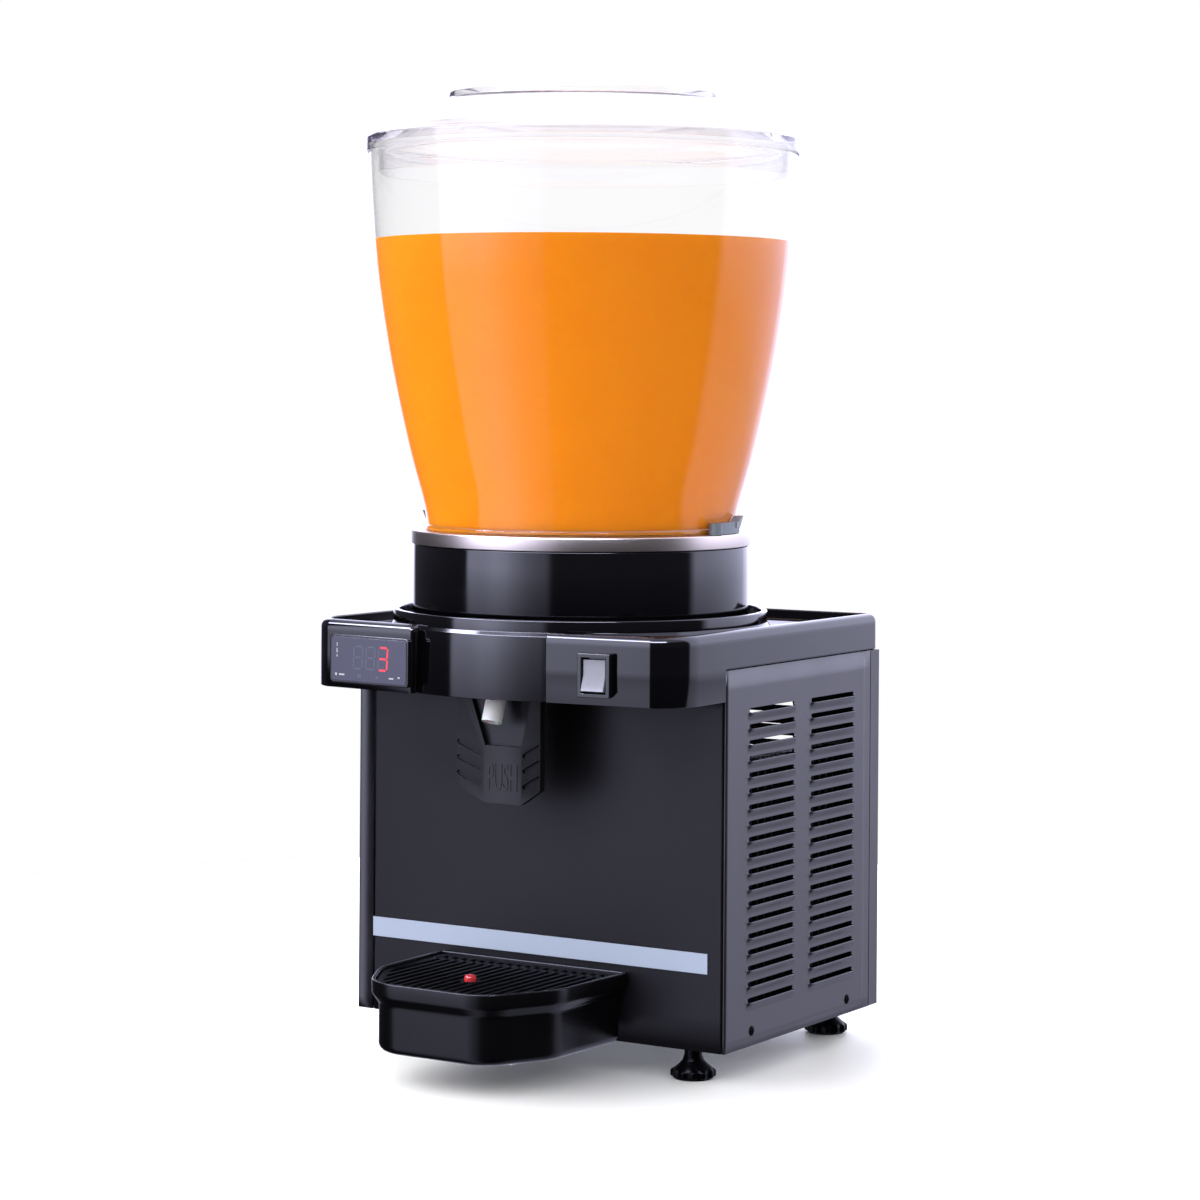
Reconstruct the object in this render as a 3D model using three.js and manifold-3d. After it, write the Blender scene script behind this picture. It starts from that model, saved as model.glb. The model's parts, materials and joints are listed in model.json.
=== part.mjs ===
// Cold drink dispenser: a clear mixing bowl over a chilled steel basin, on a sheet steel cabinet
// with a moulded hood, a push lever tap and a drip tray.
//
// Millimetres, +X to the right, +Y to the back, +Z up. Pieces are modelled from the middle of the
// cabinet's front plane at its bottom edge, and the last group sets the machine on the floor.

import * as THREE from 'three';
import { mergeVertices } from 'three/addons/utils/BufferGeometryUtils.js';
import Module from 'manifold-3d';

const wasm = await Module();
wasm.setup();

// Clearances shared by all pieces
const fit = 0.3; // gap between pieces that seat on or in each other
const seam = 0.8; // visible gap between two panels
const overrun = 2; // how far a cutting tool runs past what it cuts

// Cabinet
const cabinetWidth = 320;
const cabinetDepth = 234.5;
const cabinetHeight = 271;
const sheet = 1.5;
const frontFlange = 13.8; // the left side panel's flange in the front plane
const rearFlange = 14.1; // the rear panel's flange round the right rear edge
const topFlange = 10; // the side panels' flange under the hood
const innerFlange = 13.5; // the front panel's return flanges
const frontPanelDrop = 5; // the front panel's top edge hides behind the hood's front
const frontPanelTop = cabinetHeight - frontPanelDrop;
const panFlange = 22;
const panInset = 16; // the pan's side flanges stop short of the front and rear corners

// Louvres in the side panels
const louvreRows = 19;
const louvreStartShares = [0.1433, 0.5373]; // front end of each column over the cabinet's depth
const louvreLengthShare = 0.2832; // of the cabinet's depth
const louvreTopGap = 29; // from the cabinet's top to the highest slot
const louvreBottomGap = 34.46; // from the cabinet's foot to the top of the lowest slot
const louvreSlot = 3.2; // height of the open slot
const louvreLip = 4.4; // height of the pressed lip below it
const louvreReach = 2.2; // how far the lip stands out of the sheet
const louvreSlope = 1.5; // run of the lip's sloping ends

// Side panel screws
const screwHeadRadius = 2.8;
const screwShankRadius = 1.7;
const screwShankLength = 9;
const screwHeight = 10.6;
const screwShares = [0.168, 0.7885]; // places over the cabinet's depth

// Rear panel vents and the cord's gland
const ventRows = 9;
const ventPitch = 9;
const ventHeight = 3.5;
const ventLengthShare = 0.62; // of the cabinet's width
const ventTopGap = 35; // from the cabinet's top
const glandRadius = 8;
const glandNutRadius = 12.5;
const glandNutLength = 4;
const glandBodyLength = 16;
const glandBoreRadius = 4;
const glandHeight = 46;
const glandSetBack = 34; // from the cabinet's right side

// Trim strip
const stripLow = 55.4;
const stripHigh = 69.9;
const stripThickness = 0.5;
const stripHalfLength = 146.3;

// Levelling feet
const footHeight = 23;
const footRadius = 16.5;
const footLobes = 12;
const lobeDepth = 1.1;
const footNeckRadius = 6.4;
const footStudRadius = 3.9;
const footStudLength = 12;
const footInsetX = 35; // from the cabinet's side
const footInsetY = 17; // from the cabinet's front and rear
const footBossRadius = 9;
const footBossHeight = 7;
const footPadShare = 0.86; // radius of the flat pad over the lobed rim
const footRimShares = [0.05, 0.27, 0.33]; // heights of the rim's edges over the foot's height
const footFlareShares = [[0.44, 0.46], [0.66, 0.15]]; // height, radius between neck and rim

// Hood
const hoodOverhang = 22; // how far the hood's front hangs below the cabinet's top
const hoodHeight = 49.5;
const hoodBottom = cabinetHeight - hoodOverhang;
const hoodTop = hoodBottom + hoodHeight;
const hoodWall = 3;
const hoodEdge = 4.2; // rounding of the top edge
const hoodEdgeShares = [[0.14, 0.5], [0.45, 0.87], [1, 1]]; // inset and rise over the rounding
const hoodRim = 7; // raised rim round the sunken deck
const deckDepth = 8;
const hoodRearRadius = 8.4;
const hoodCornerRadius = 22;
const facetSetIn = 61.5; // of each facet's middle from the cabinet's side
const facetCentreY = -74;
const facetTurn = 5.93; // degrees, each facet looks outwards
const facetInnerEnd = 56;
const facetEndRadius = 6;
const recessInnerEnd = 64;
const recessEndRadius = 1.2;
const facetReach = 12; // how far the facets' inner ends run back into the bulge
const bulgeDraft = 0.6; // the bulge is wider at its foot and narrower at its crease by this
const bulgeEdge = 2.4; // height of the crease below the lip ring
const bulgeStep = 2.6; // from the lip ring out to the bulge
const lipRingWall = 4.4;
const lipRingRise = 7.3; // above the hood's top
const lipRingEdge = 1;
const seatDrop = 1.5; // the collar's seat lies this far below the hood's top
const troughWidth = 9.8; // between the collar and the lip ring
const deckHoleRadius = 60;
const outletHoleRadius = 11;
const pipeHoleRadius = 8;
const underplateThickness = 2;

// Collar
const bowlAxisY = 58.9;
const collarSetback = 0.8; // from the basin's skirt
const collarHeight = 56.3; // above its seat
const collarWall = 3;
const collarNeckStep = 1.1;
const collarNeckWall = 2.2;

// Basin
const basinLedge = 12; // how far the flange reaches outside the bowl's foot
const basinLip = 11.5; // how far the flange reaches inside it
const basinSkirt = 10;
const basinRise = 10.6; // above the collar's shoulder
const steel = 1.5;
const basinBead = 1.2; // rounding of the flange's edge
const basinTaper = 8.5; // the floor is smaller than the mouth by this
const basinDepth = 50;
const basinFloorRound = 6;
const spindleRadius = 4;
const spindleLength = 24;
const spigotRadius = 5;
const spigotWall = 1.5;
const spigotLength = 8;
const outletY = -33; // where the spigot leaves the basin's floor

// Evaporator coil and insulation
const coilTubeRadius = 4;
const coilTurns = 4;
const coilStepsPerTurn = 16;
const coilPitch = 9;
const coilRise = 7.1; // of the lowest turn's middle above the basin's floor
const coilTubeSides = 6;
const foamInnerGap = 0.6; // between the coil's widest points and the foam
const foamFloor = 7;
const foamHoleRadius = 30;

// Bowl, gasket and lid
const bowlFootRadius = 114;
const bowlRimRadius = 160.4;
const bowlWall = 3;
const bowlHeight = 285;
const bowlFootFlange = 2;
const bowlFootFlangeHeight = 2.6;
// Height over the bowl's height, and radius between foot and rim, from the photographed outline
const bowlHeightShares = [0, 0.07, 0.22, 0.44, 0.66, 0.86, 1];
const bowlRadiusShares = [0, 0.085, 0.34, 0.636, 0.85, 0.957, 1];
const gasketSide = 4.6;
const lidRimGap = 0.7; // between the bowl's rim and the lid's skirt
const lidFlangeHeight = 12;
const lidWall = 1.8;
const lidOverlap = 5.8; // how far the lid's skirt hangs below the bowl's rim
const lidShoulder = 7.9; // from the flange's edge in to the foot of the cone
const lidConeRun = 52.5;
const lidConeRise = 28;
const lidConeShares = [[0.16, 0.21], [0.5, 0.56], [0.87, 0.87]]; // run and rise along the cone
const crownHeight = 5;
const crownWidth = 3.6;
const crownDepth = 12;
const plugGap = 4.4; // between the bowl's wall and the lid's inner skirt
const plugDepth = 21;

// Bowl latches
const latchHeight = 8.3;
const latchBossRadius = 4.8;
const latchTurn = 18; // degrees round the bowl from the boss to the bar's end
const latchStart = -4; // degrees, the boss's place in front of the bowl's side
const latchWidth = 6.4;
const latchTabRise = 4;
const latchTabLength = 9;
const latchTipShare = 0.6; // where the tab's top edge starts, along its length
const latchPinRadius = 2;
const latchGap = 0.5;

// Mixer
const motorRadius = 30;
const motorHeight = 33;
const motorFlangeLap = 6; // how far the flange reaches under the deck
const motorFlange = 2.5;
const motorShaftRadius = 4;
const magnetRadius = 24;
const magnetHeight = 8;
const impellerHubRadius = 12;
const impellerDiscRadius = 26;
const impellerDisc = 6;
const impellerRadius = 46;
const impellerVanes = 4;
const impellerVaneHeight = 12;
const impellerVaneThickness = 2.6;
const impellerSweep = 35; // degrees that a vane curves back

// Thermostat in the left facet, switch in the right one
const bezelWidth = 73;
const bezelHeight = 34.5;
const bezelProud = 4;
const bezelRadius = 3;
const controllerWidth = 67;
const controllerHeight = 28;
const controllerDepth = 54;
const controllerRise = 19.9; // of its middle above the hood's bottom
const windowMargin = 1.8;
const windowThickness = 1;
const switchWidth = 25.5;
const switchHeight = 31;
const switchProud = 6;
const switchRadius = 1.5;
const switchBodyWidth = 21.5;
const switchBodyHeight = 27;
const switchBodyDepth = 22;
const switchRise = 21.2; // of its middle above the hood's bottom
const rockerWidth = 17.6;
const rockerHeight = 22.4;
const rockerProud = 2.6;
const rockerThickness = 4.5;
const rockerTilt = 11; // degrees, each half of the rocker's face
const rockerPocket = 12;

// Tap: drink tube, bracket, lever
const tubeRadius = 8.15;
const tubeBoreRadius = 5.3;
const tubeTipY = -60;
const tubeTipDrop = 23; // of the nozzle below the hood's bottom
const leverPivotY = -30;
const leverPivotRise = 10; // above the hood's bottom
const leverHalfWidth = 36;
const leverPadHalfWidth = 15.5;
const leverFaceY = -44; // front face of the pad
const leverWingReach = 6; // the wings' edges stand this far in front of the pad
const leverThickness = 6;
const leverDrop = 89; // from the pin down to the lever's lowest edge
const leverWingRise = 12; // of the wings' lower corners above that edge
const leverPadHeight = 41.5;
const leverTopDrop = 4; // from the pin down to the lever's top edge
const leverRecessHalfWidth = 29; // of the recess above the pad, at the lever's top
const leverWeb = 1.5;
const slotWidth = 3.4;
const slotDepth = 2;
const slotRise = 8;
const slotPitch = 11.2;
const slotCount = 3;
const slotTopRise = 35.6; // of the highest slot's inner end above the lever's lowest edge
const slotMargin = 1.6; // from the pad and from the wing's edge
const armInner = 15;
const armOuter = 19;
const armRadius = 6;
const pinRadius = 2;
const pinHead = 1.5;
const pinchBarRadius = 3;
const pinchRise = 18; // of the pinch bar above the pin
const earGap = 0.6;
const earThickness = 2;
const bracketPlate = 2;
const bracketTopRise = 25; // above the pin
const bracketDrop = 6.4; // below the pin
const anvilHeight = 8;
const anvilHalfWidth = 11;
const windowGapSide = 5; // between the lever and the sides of its window in the underplate
const windowGapFront = 18;
const windowGapRear = 16;
const springWire = 0.7;
const springTurns = 4;
const springPitch = 3.6;
const springLeg = 12;

// Drip tray, grate and float
const trayHeight = 51;
const trayHalfWidth = 82;
const traySide = 75; // straight run of the sides from the front panel
const traySideRadius = 90;
const trayCornerRadius = 46;
const trayTurn = 24; // degrees of the side's wide arc
const trayRearRadius = 4;
const trayRearGap = 2;
const trayWall = 2.5;
const trayStep = 5.3; // the wall stands in below the rim's band
const trayRimWidth = 3;
const traySeat = 6; // depth of the grate's seat below the rim
const trayFloorRound = 9;
const grateThickness = 3.5;
const grateFrame = 5;
const grateBars = 19;
const gratePitch = 8;
const grateSlot = 4.8;
const grateRearSlot = 8;
const grateCrossBar = 4;
const floatY = -83.6;
const floatRadius = 13;
const floatBody = 9;
const floatStemRadius = 3.25;
const floatGap = 1.6; // below the float
const floatRingWall = 2.6;
const armHalfSpan = 40;
const trayArmWidth = 14;
const trayArmThickness = 3;
const trayArmReach = 100;
const trayArmTail = 30;

// Refrigeration in the cabinet
const compressorSetIn = 76; // of its middle from the cabinet's left side
const compressorSetBack = 106.5; // of its middle from the cabinet's rear
const compressorHalfX = 52;
const compressorHalfY = 66;
const compressorHeight = 150;
const compressorLift = 9;
const compressorSeam = 3;
// Height over the compressor's height, and radius over its half sizes
const compressorShares = [[0, 0.62], [0.05, 0.84], [0.16, 0.97], [0.42, 1], [0.8, 0.95], [0.93, 0.8], [1, 0.5]];
const compressorFootRadius = 11;
const compressorRailWidth = 26;
const compressorRail = 3;
const condenserSideGap = 10;
const condenserFrontGap = 42;
const condenserRearGap = 36.5;
const condenserThickness = 38;
const condenserTop = 200;
const condenserFins = 15;
const finShare = 0.3; // fin thickness over the fin pitch
const finCoreShare = 0.24; // solid core over the condenser's depth
const shroudGap = 13; // between the shroud's face and the condenser
const shroudDepth = 12;
const shroudRadius = 76;
const fanTipGap = 4;
const fanSetback = 15; // of the hub's rear face behind the shroud's face
const fanHubRadius = 18;
const fanHubLength = 14;
const fanBlades = 5;
const fanBladeThickness = 1.8;
const fanBladeSpan = 34; // degrees at the hub and rim
const fanBladeTwist = 11; // run along the axis from the leading to the trailing edge
const fanMotorRadius = 30;
const fanMotorLength = 38;
const fanShaftRadius = 3;
const fanBracketHalfWidth = 26;
const fanBracketFoot = 24;
const pipeRadius = 3.2;

// Places that follow from the sizes above
const halfWidth = cabinetWidth / 2;
const facetCentreX = halfWidth - facetSetIn;
const louvreTop = cabinetHeight - louvreTopGap;
const louvrePitch = (louvreTop - louvreBottomGap) / (louvreRows - 1);
const louvreLength = cabinetDepth * louvreLengthShare;
const seatLevel = hoodTop - seatDrop;
const lipRingTop = hoodTop + lipRingRise;
const hoodInnerY = facetCentreY + facetReach;
const basinRadius = bowlFootRadius + basinLedge;
const basinInnerRadius = bowlFootRadius - basinLip;
const basinFloorRadius = basinInnerRadius - basinTaper;
const collarRadius = basinRadius - collarSetback;
const collarNeckRadius = collarRadius - collarNeckStep;
const collarTop = seatLevel + collarHeight;
const basinTop = collarTop + basinRise;
const lipRingRadius = collarRadius + troughWidth + lipRingWall;
const bulgeRadius = lipRingRadius + bulgeStep;
const lidFlangeRadius = bowlRimRadius + lidRimGap + lidWall;
const lidConeFootRadius = lidFlangeRadius - lidShoulder;
const lidConeTopRadius = lidConeFootRadius - lidConeRun;
const plugRadius = bowlRimRadius - bowlWall - plugGap;
const controllerZ = hoodBottom + controllerRise;
const switchZ = hoodBottom + switchRise;
const tubeTipZ = hoodBottom - tubeTipDrop;
const leverPivotZ = hoodBottom + leverPivotRise;
const leverBottom = leverPivotZ - leverDrop;
const leverWingBottom = leverBottom + leverWingRise;
const leverPadTop = leverBottom + leverPadHeight;
const leverTop = leverPivotZ - leverTopDrop;
const slotTop = leverBottom + slotTopRise;
const pinchZ = leverPivotZ + pinchRise;
const bracketTop = leverPivotZ + bracketTopRise;
const bracketBottom = leverPivotZ - bracketDrop;
const tapWindowHalfWidth = leverHalfWidth + windowGapSide;
const tapWindowFront = leverFaceY - leverWingReach - windowGapFront;
const tapWindowRear = leverPivotY + windowGapRear;
const compressorX = compressorSetIn - halfWidth;
const compressorY = cabinetDepth - compressorSetBack;
const condenserOuterX = halfWidth - condenserSideGap;
const condenserInnerX = condenserOuterX - condenserThickness;
const condenserFront = condenserFrontGap;
const condenserRear = cabinetDepth - condenserRearGap;
const shroudX = condenserInnerX - shroudGap;
const fanX = shroudX - fanSetback;
const fanY = (condenserFront + condenserRear) / 2;
const fanZ = (sheet + condenserTop) / 2;
const fanRadius = shroudRadius - fanTipGap;

// Numbers of sides on round forms
const bowlSides = 36;
const ringSides = 30;
const hiddenSides = 20;
const smallSides = 12;
const tinySides = 8;
const cornerSteps = 4;

const rad = THREE.MathUtils.degToRad;
const halfTurn = 180; // degrees

// Middle of a flat on a many-sided round, and the corner radius that puts the flats there
const flatOf = (radius, sides) => radius * Math.cos(Math.PI / sides);
const cornerOf = (radius, sides) => radius / Math.cos(Math.PI / sides);

// Corner radius of a hole that clears a round bar
const boreFor = (radius, sides) => cornerOf(radius + fit, sides);

const footPlaces = [
  ['foot_front_left', footInsetX - halfWidth, footInsetY],
  ['foot_front_right', halfWidth - footInsetX, footInsetY],
  ['foot_rear_left', footInsetX - halfWidth, cabinetDepth - footInsetY],
  ['foot_rear_right', halfWidth - footInsetX, cabinetDepth - footInsetY],
];

// Finishes
const finish = (color, roughness, metalness) =>
  new THREE.MeshStandardMaterial({ color, roughness, metalness });
const blackPaint = finish(0x2b2931, 0.45, 0.2);
const blackGloss = finish(0x0c0b0f, 0.12, 0);
const blackMatt = finish(0x1a1a1e, 0.5, 0);
const brightSteel = finish(0xc9ccd2, 0.25, 1);
const zincSteel = finish(0x9da3a8, 0.4, 0.9);
const copper = finish(0xb8683c, 0.35, 0.9);
const clearPlastic = finish(0xe9eef5, 0.05, 0);
const greyPlastic = finish(0x6d7480, 0.4, 0);
const whiteSilicone = finish(0xe8e6e4, 0.5, 0);
const redPlastic = finish(0xb0252b, 0.35, 0);
const foam = finish(0xd9cfae, 0.9, 0);
const rubber = finish(0x232323, 0.8, 0);
const aluminium = finish(0xb9bdc2, 0.4, 0.9);
const paleStrip = finish(0xc3cbe2, 0.35, 0.1);
const displayGlass = finish(0x232a3d, 0.1, 0);
const paleRocker = finish(0xb9b6c4, 0.3, 0);

// Closed three.js geometry to a solid with its faces pointing out
function toSolid(geometry) {
  geometry.deleteAttribute('normal');
  geometry.deleteAttribute('uv');
  const merged = mergeVertices(geometry);
  const corners = merged.index.array;
  const kept = [];
  for (let i = 0; i < corners.length; i += 3) {
    const [a, b, c] = [corners[i], corners[i + 1], corners[i + 2]];
    if (a !== b && b !== c && c !== a) kept.push([a, b, c]);
  }
  const build = (triangles) => new wasm.Manifold(new wasm.Mesh({
    numProp: 3,
    vertProperties: new Float32Array(merged.attributes.position.array),
    triVerts: new Uint32Array(triangles.flat()),
  }));
  const solid = build(kept);
  return solid.volume() > 0 ? solid : build(kept.map(([a, b, c]) => [a, c, b]));
}

const join = (...solids) => solids.reduce((sum, solid) => sum.add(solid));
const cut = (base, ...tools) => tools.reduce((rest, tool) => rest.subtract(tool), base);
const common = (a, b) => a.intersect(b);

// A named mesh from a solid
function piece(name, solid, material) {
  const { numProp, vertProperties, triVerts } = solid.getMesh();
  const places = new Float32Array((vertProperties.length / numProp) * 3);
  for (let i = 0; i < places.length / 3; i += 1) {
    places.set(vertProperties.subarray(i * numProp, i * numProp + 3), i * 3);
  }
  const indexed = new THREE.BufferGeometry();
  indexed.setAttribute('position', new THREE.BufferAttribute(places, 3));
  indexed.setIndex(new THREE.BufferAttribute(new Uint32Array(triVerts), 1));
  const geometry = indexed.toNonIndexed();
  geometry.computeVertexNormals();
  const mesh = new THREE.Mesh(geometry, material);
  mesh.name = name;
  return mesh;
}

// Box between two corners
function box(lowX, highX, lowY, highY, lowZ, highZ) {
  const geometry = new THREE.BoxGeometry(highX - lowX, highY - lowY, highZ - lowZ);
  geometry.translate((lowX + highX) / 2, (lowY + highY) / 2, (lowZ + highZ) / 2);
  return toSolid(geometry);
}

// Which way an outline's two directions and its extrusion point
const axes = {
  x: new THREE.Matrix4().makeBasis(
    new THREE.Vector3(0, 1, 0), new THREE.Vector3(0, 0, 1), new THREE.Vector3(1, 0, 0)),
  y: new THREE.Matrix4().makeBasis(
    new THREE.Vector3(1, 0, 0), new THREE.Vector3(0, 0, 1), new THREE.Vector3(0, 1, 0)),
  z: new THREE.Matrix4(),
};

// Outline extruded along an axis: (y, z) along x, (x, z) along y, (x, y) along z
function prism(axis, outline, low, high) {
  const shape = outline instanceof THREE.Shape
    ? outline : new THREE.Shape(outline.map(([u, v]) => new THREE.Vector2(u, v)));
  const geometry = new THREE.ExtrudeGeometry(shape, {
    depth: high - low, bevelEnabled: false, curveSegments: cornerSteps / 2,
  });
  geometry.translate(0, 0, low);
  geometry.applyMatrix4(axes[axis]);
  return toSolid(geometry);
}

// Profile of [radius, height] points turned round an upright line at (x, y)
function revolve(profile, sides, x = 0, y = 0) {
  const geometry = new THREE.LatheGeometry(
    profile.map(([radius, height]) => new THREE.Vector2(radius, height)), sides);
  geometry.rotateX(Math.PI / 2);
  geometry.translate(x, y, 0);
  return toSolid(geometry);
}

// Round bar along an axis through (u, v), the other two coordinates in their order
function rod(axis, radius, u, v, low, high, sides = smallSides) {
  const shape = new THREE.Shape();
  for (let i = 0; i < sides; i += 1) {
    const angle = (i * 2 * Math.PI) / sides;
    const place = [u + radius * Math.cos(angle), v + radius * Math.sin(angle)];
    if (i === 0) shape.moveTo(...place);
    else shape.lineTo(...place);
  }
  return prism(axis, shape, low, high);
}

// Rounded rectangle round a centre
function roundedRectangle(centreU, centreV, width, height, radius) {
  const shape = new THREE.Shape();
  const [u, v] = [width / 2 - radius, height / 2 - radius];
  shape.absarc(centreU + u, centreV - v, radius, -Math.PI / 2, 0);
  shape.absarc(centreU + u, centreV + v, radius, 0, Math.PI / 2);
  shape.absarc(centreU - u, centreV + v, radius, Math.PI / 2, Math.PI);
  shape.absarc(centreU - u, centreV - v, radius, Math.PI, (3 * Math.PI) / 2);
  return shape;
}

// Slot with round ends between two points
function capsule(fromU, fromV, toU, toV, width) {
  const lean = Math.atan2(toV - fromV, toU - fromU);
  const shape = new THREE.Shape();
  shape.absarc(toU, toV, width / 2, lean - Math.PI / 2, lean + Math.PI / 2);
  shape.absarc(fromU, fromV, width / 2, lean + Math.PI / 2, lean + (3 * Math.PI) / 2);
  return shape;
}

// Closed body through rings that all have the same number of points, capped at both ends
function loft(rings) {
  const count = rings[0].length;
  const triangles = [];
  for (let level = 0; level + 1 < rings.length; level += 1) {
    for (let i = 0; i < count; i += 1) {
      const [a, b] = [rings[level][i], rings[level][(i + 1) % count]];
      const [c, d] = [rings[level + 1][i], rings[level + 1][(i + 1) % count]];
      triangles.push(a, b, d, a, d, c);
    }
  }
  const cap = (ring, flip) => {
    const flat = ring.map((point) => new THREE.Vector2(point.x, point.y));
    for (const [i, j, k] of THREE.ShapeUtils.triangulateShape(flat, [])) {
      triangles.push(...(flip ? [ring[i], ring[k], ring[j]] : [ring[i], ring[j], ring[k]]));
    }
  };
  cap(rings[0], true);
  cap(rings.at(-1), false);
  return toSolid(new THREE.BufferGeometry().setFromPoints(triangles));
}

// Outline made of arcs joined by straight lines. An inset shrinks every arc about its own centre,
// so the lines between them move in by the same amount. A square corner that is tighter than the
// inset becomes a sharp one.
function arcRing(arcs, inset, z) {
  return arcs.flatMap(({ x, y, radius, from, to, steps }) => {
    const points = [];
    const tight = Math.min(radius - inset, 0);
    const [first, last] = [rad(from), rad(to)];
    for (let i = 0; i <= steps; i += 1) {
      const angle = first + ((last - first) * i) / steps;
      const reach = Math.max(radius - inset, 0);
      points.push(new THREE.Vector3(
        x + reach * Math.cos(angle) + tight * (Math.cos(first) + Math.cos(last)),
        y + reach * Math.sin(angle) + tight * (Math.sin(first) + Math.sin(last)), z));
    }
    return points;
  });
}

// Tube along a curve
function tube(curve, radius, steps, sides) {
  const section = new THREE.Shape();
  for (let i = 0; i < sides; i += 1) {
    const angle = (i * 2 * Math.PI) / sides;
    const place = [radius * Math.cos(angle), radius * Math.sin(angle)];
    if (i === 0) section.moveTo(...place);
    else section.lineTo(...place);
  }
  return toSolid(new THREE.ExtrudeGeometry(section, { steps, extrudePath: curve }));
}

const through = (points) => new THREE.CatmullRomCurve3(
  points.map((place) => new THREE.Vector3(...place)), false, 'centripetal');

// Pressed louvres. Each is a slot with a lip below it, bent out of the sheet along its upper edge.
function louvreLipBody(side, lowY, highY, lowZ, highZ) {
  const flat = side * (halfWidth - sheet / 2);
  const edge = side * (halfWidth + louvreReach);
  const corners = [
    [flat, lowY - louvreSlope, lowZ], [flat, highY + louvreSlope, lowZ],
    [flat, lowY - louvreSlope, highZ], [flat, highY + louvreSlope, highZ],
    [edge, lowY, highZ], [edge, highY, highZ],
  ].map((place) => new THREE.Vector3(...place));
  const faces = [
    [0, 1, 3], [0, 3, 2], [2, 3, 5], [2, 5, 4], [0, 4, 5], [0, 5, 1], [0, 2, 4], [1, 5, 3],
  ];
  return toSolid(new THREE.BufferGeometry().setFromPoints(faces.flat().map((i) => corners[i])));
}

function louvred(panel, side) {
  const [inside, outside] = [halfWidth - sheet * 2, halfWidth + louvreReach + overrun];
  const lips = [];
  const openings = [];
  for (const start of louvreStartShares.map((share) => share * cabinetDepth)) {
    for (let row = 0; row < louvreRows; row += 1) {
      const slotLow = louvreTop - row * louvrePitch - louvreSlot;
      const lipLow = slotLow - louvreLip;
      const end = start + louvreLength;
      lips.push(louvreLipBody(side, start - sheet, end + sheet, lipLow, slotLow));
      openings.push(prism('y', [
        [inside, lipLow + sheet], [halfWidth + louvreReach - sheet, slotLow],
        [outside, slotLow], [outside, slotLow + louvreSlot], [inside, slotLow + louvreSlot],
      ].map(([x, z]) => [side * x, z]), start, end));
    }
  }
  return cut(join(panel, ...lips), join(...openings));
}

// Round holes through the side panel and the pan's flange
const screwPlaces = screwShares.map((share) => share * cabinetDepth);
const sideHoles = (side, radius) => screwPlaces.map((place) => rod('x', radius, place, screwHeight,
  side > 0 ? halfWidth - sheet * 3 : -halfWidth - overrun,
  side > 0 ? halfWidth + overrun : -halfWidth + sheet * 3, tinySides));

function leftSidePanel() {
  const folded = prism('z', [
    [-halfWidth, 0], [-halfWidth + frontFlange, 0], [-halfWidth + frontFlange, sheet],
    [-halfWidth + sheet, sheet], [-halfWidth + sheet, cabinetDepth - sheet],
    [-halfWidth + frontFlange, cabinetDepth - sheet], [-halfWidth + frontFlange, cabinetDepth],
    [-halfWidth, cabinetDepth],
  ], 0, cabinetHeight);
  const ledge = box(-halfWidth, -halfWidth + topFlange, panInset, cabinetDepth - panInset,
    cabinetHeight - sheet, cabinetHeight);
  const panel = cut(join(folded, ledge), ...sideHoles(-1, boreFor(screwHeadRadius, tinySides)));
  return piece('left_side_panel', louvred(panel, -1), blackPaint);
}

function rightSidePanel() {
  const flat = box(halfWidth - sheet, halfWidth, 0, cabinetDepth - rearFlange - seam,
    0, cabinetHeight);
  const ledge = box(halfWidth - topFlange, halfWidth, panInset, cabinetDepth - panInset * 2,
    cabinetHeight - sheet, cabinetHeight);
  const panel = cut(join(flat, ledge), ...sideHoles(1, boreFor(screwHeadRadius, tinySides)));
  return piece('right_side_panel', louvred(panel, 1), blackPaint);
}

const frontLeft = -halfWidth + frontFlange + seam;
const frontRight = halfWidth - sheet - seam;

function frontPanel() {
  const folded = prism('z', [
    [frontLeft, 0], [frontRight, 0], [frontRight, innerFlange], [frontRight - sheet, innerFlange],
    [frontRight - sheet, sheet], [frontLeft + sheet, sheet], [frontLeft + sheet, innerFlange],
    [frontLeft, innerFlange],
  ], 0, frontPanelTop);
  const overPan = box(frontLeft - overrun, frontRight + overrun, sheet,
    innerFlange + overrun, -overrun, sheet + fit);
  return piece('front_panel', cut(folded, overPan), blackPaint);
}

function rearPanel() {
  const left = -halfWidth + frontFlange + seam;
  const folded = prism('z', [
    [left, cabinetDepth - sheet], [halfWidth - sheet, cabinetDepth - sheet],
    [halfWidth - sheet, cabinetDepth - rearFlange], [halfWidth, cabinetDepth - rearFlange],
    [halfWidth, cabinetDepth], [left, cabinetDepth],
  ], 0, cabinetHeight);
  const halfVent = (cabinetWidth * ventLengthShare) / 2;
  const vents = Array.from({ length: ventRows }, (_, row) => {
    const level = cabinetHeight - ventTopGap - row * ventPitch;
    return box(-halfVent, halfVent, cabinetDepth - sheet - overrun, cabinetDepth + overrun,
      level - ventHeight, level);
  });
  const glandHole = rod('y', boreFor(glandRadius, smallSides), halfWidth - glandSetBack, glandHeight,
    cabinetDepth - sheet - overrun, cabinetDepth + overrun);
  return piece('rear_panel', cut(folded, ...vents, glandHole), blackPaint);
}

// The gland's body stands inside, and its outer nut is set flush in the panel's plane
function cordGland() {
  const [x, z] = [halfWidth - glandSetBack, glandHeight];
  const inner = cabinetDepth - sheet - fit;
  const body = join(
    rod('y', glandNutRadius, x, z, inner - glandNutLength, inner, 6),
    rod('y', glandRadius, x, z, inner - glandBodyLength, cabinetDepth));
  const bore = rod('y', glandBoreRadius, x, z, inner - glandBodyLength - overrun,
    cabinetDepth + overrun);
  return piece('cord_gland', cut(body, bore), blackMatt);
}

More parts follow.
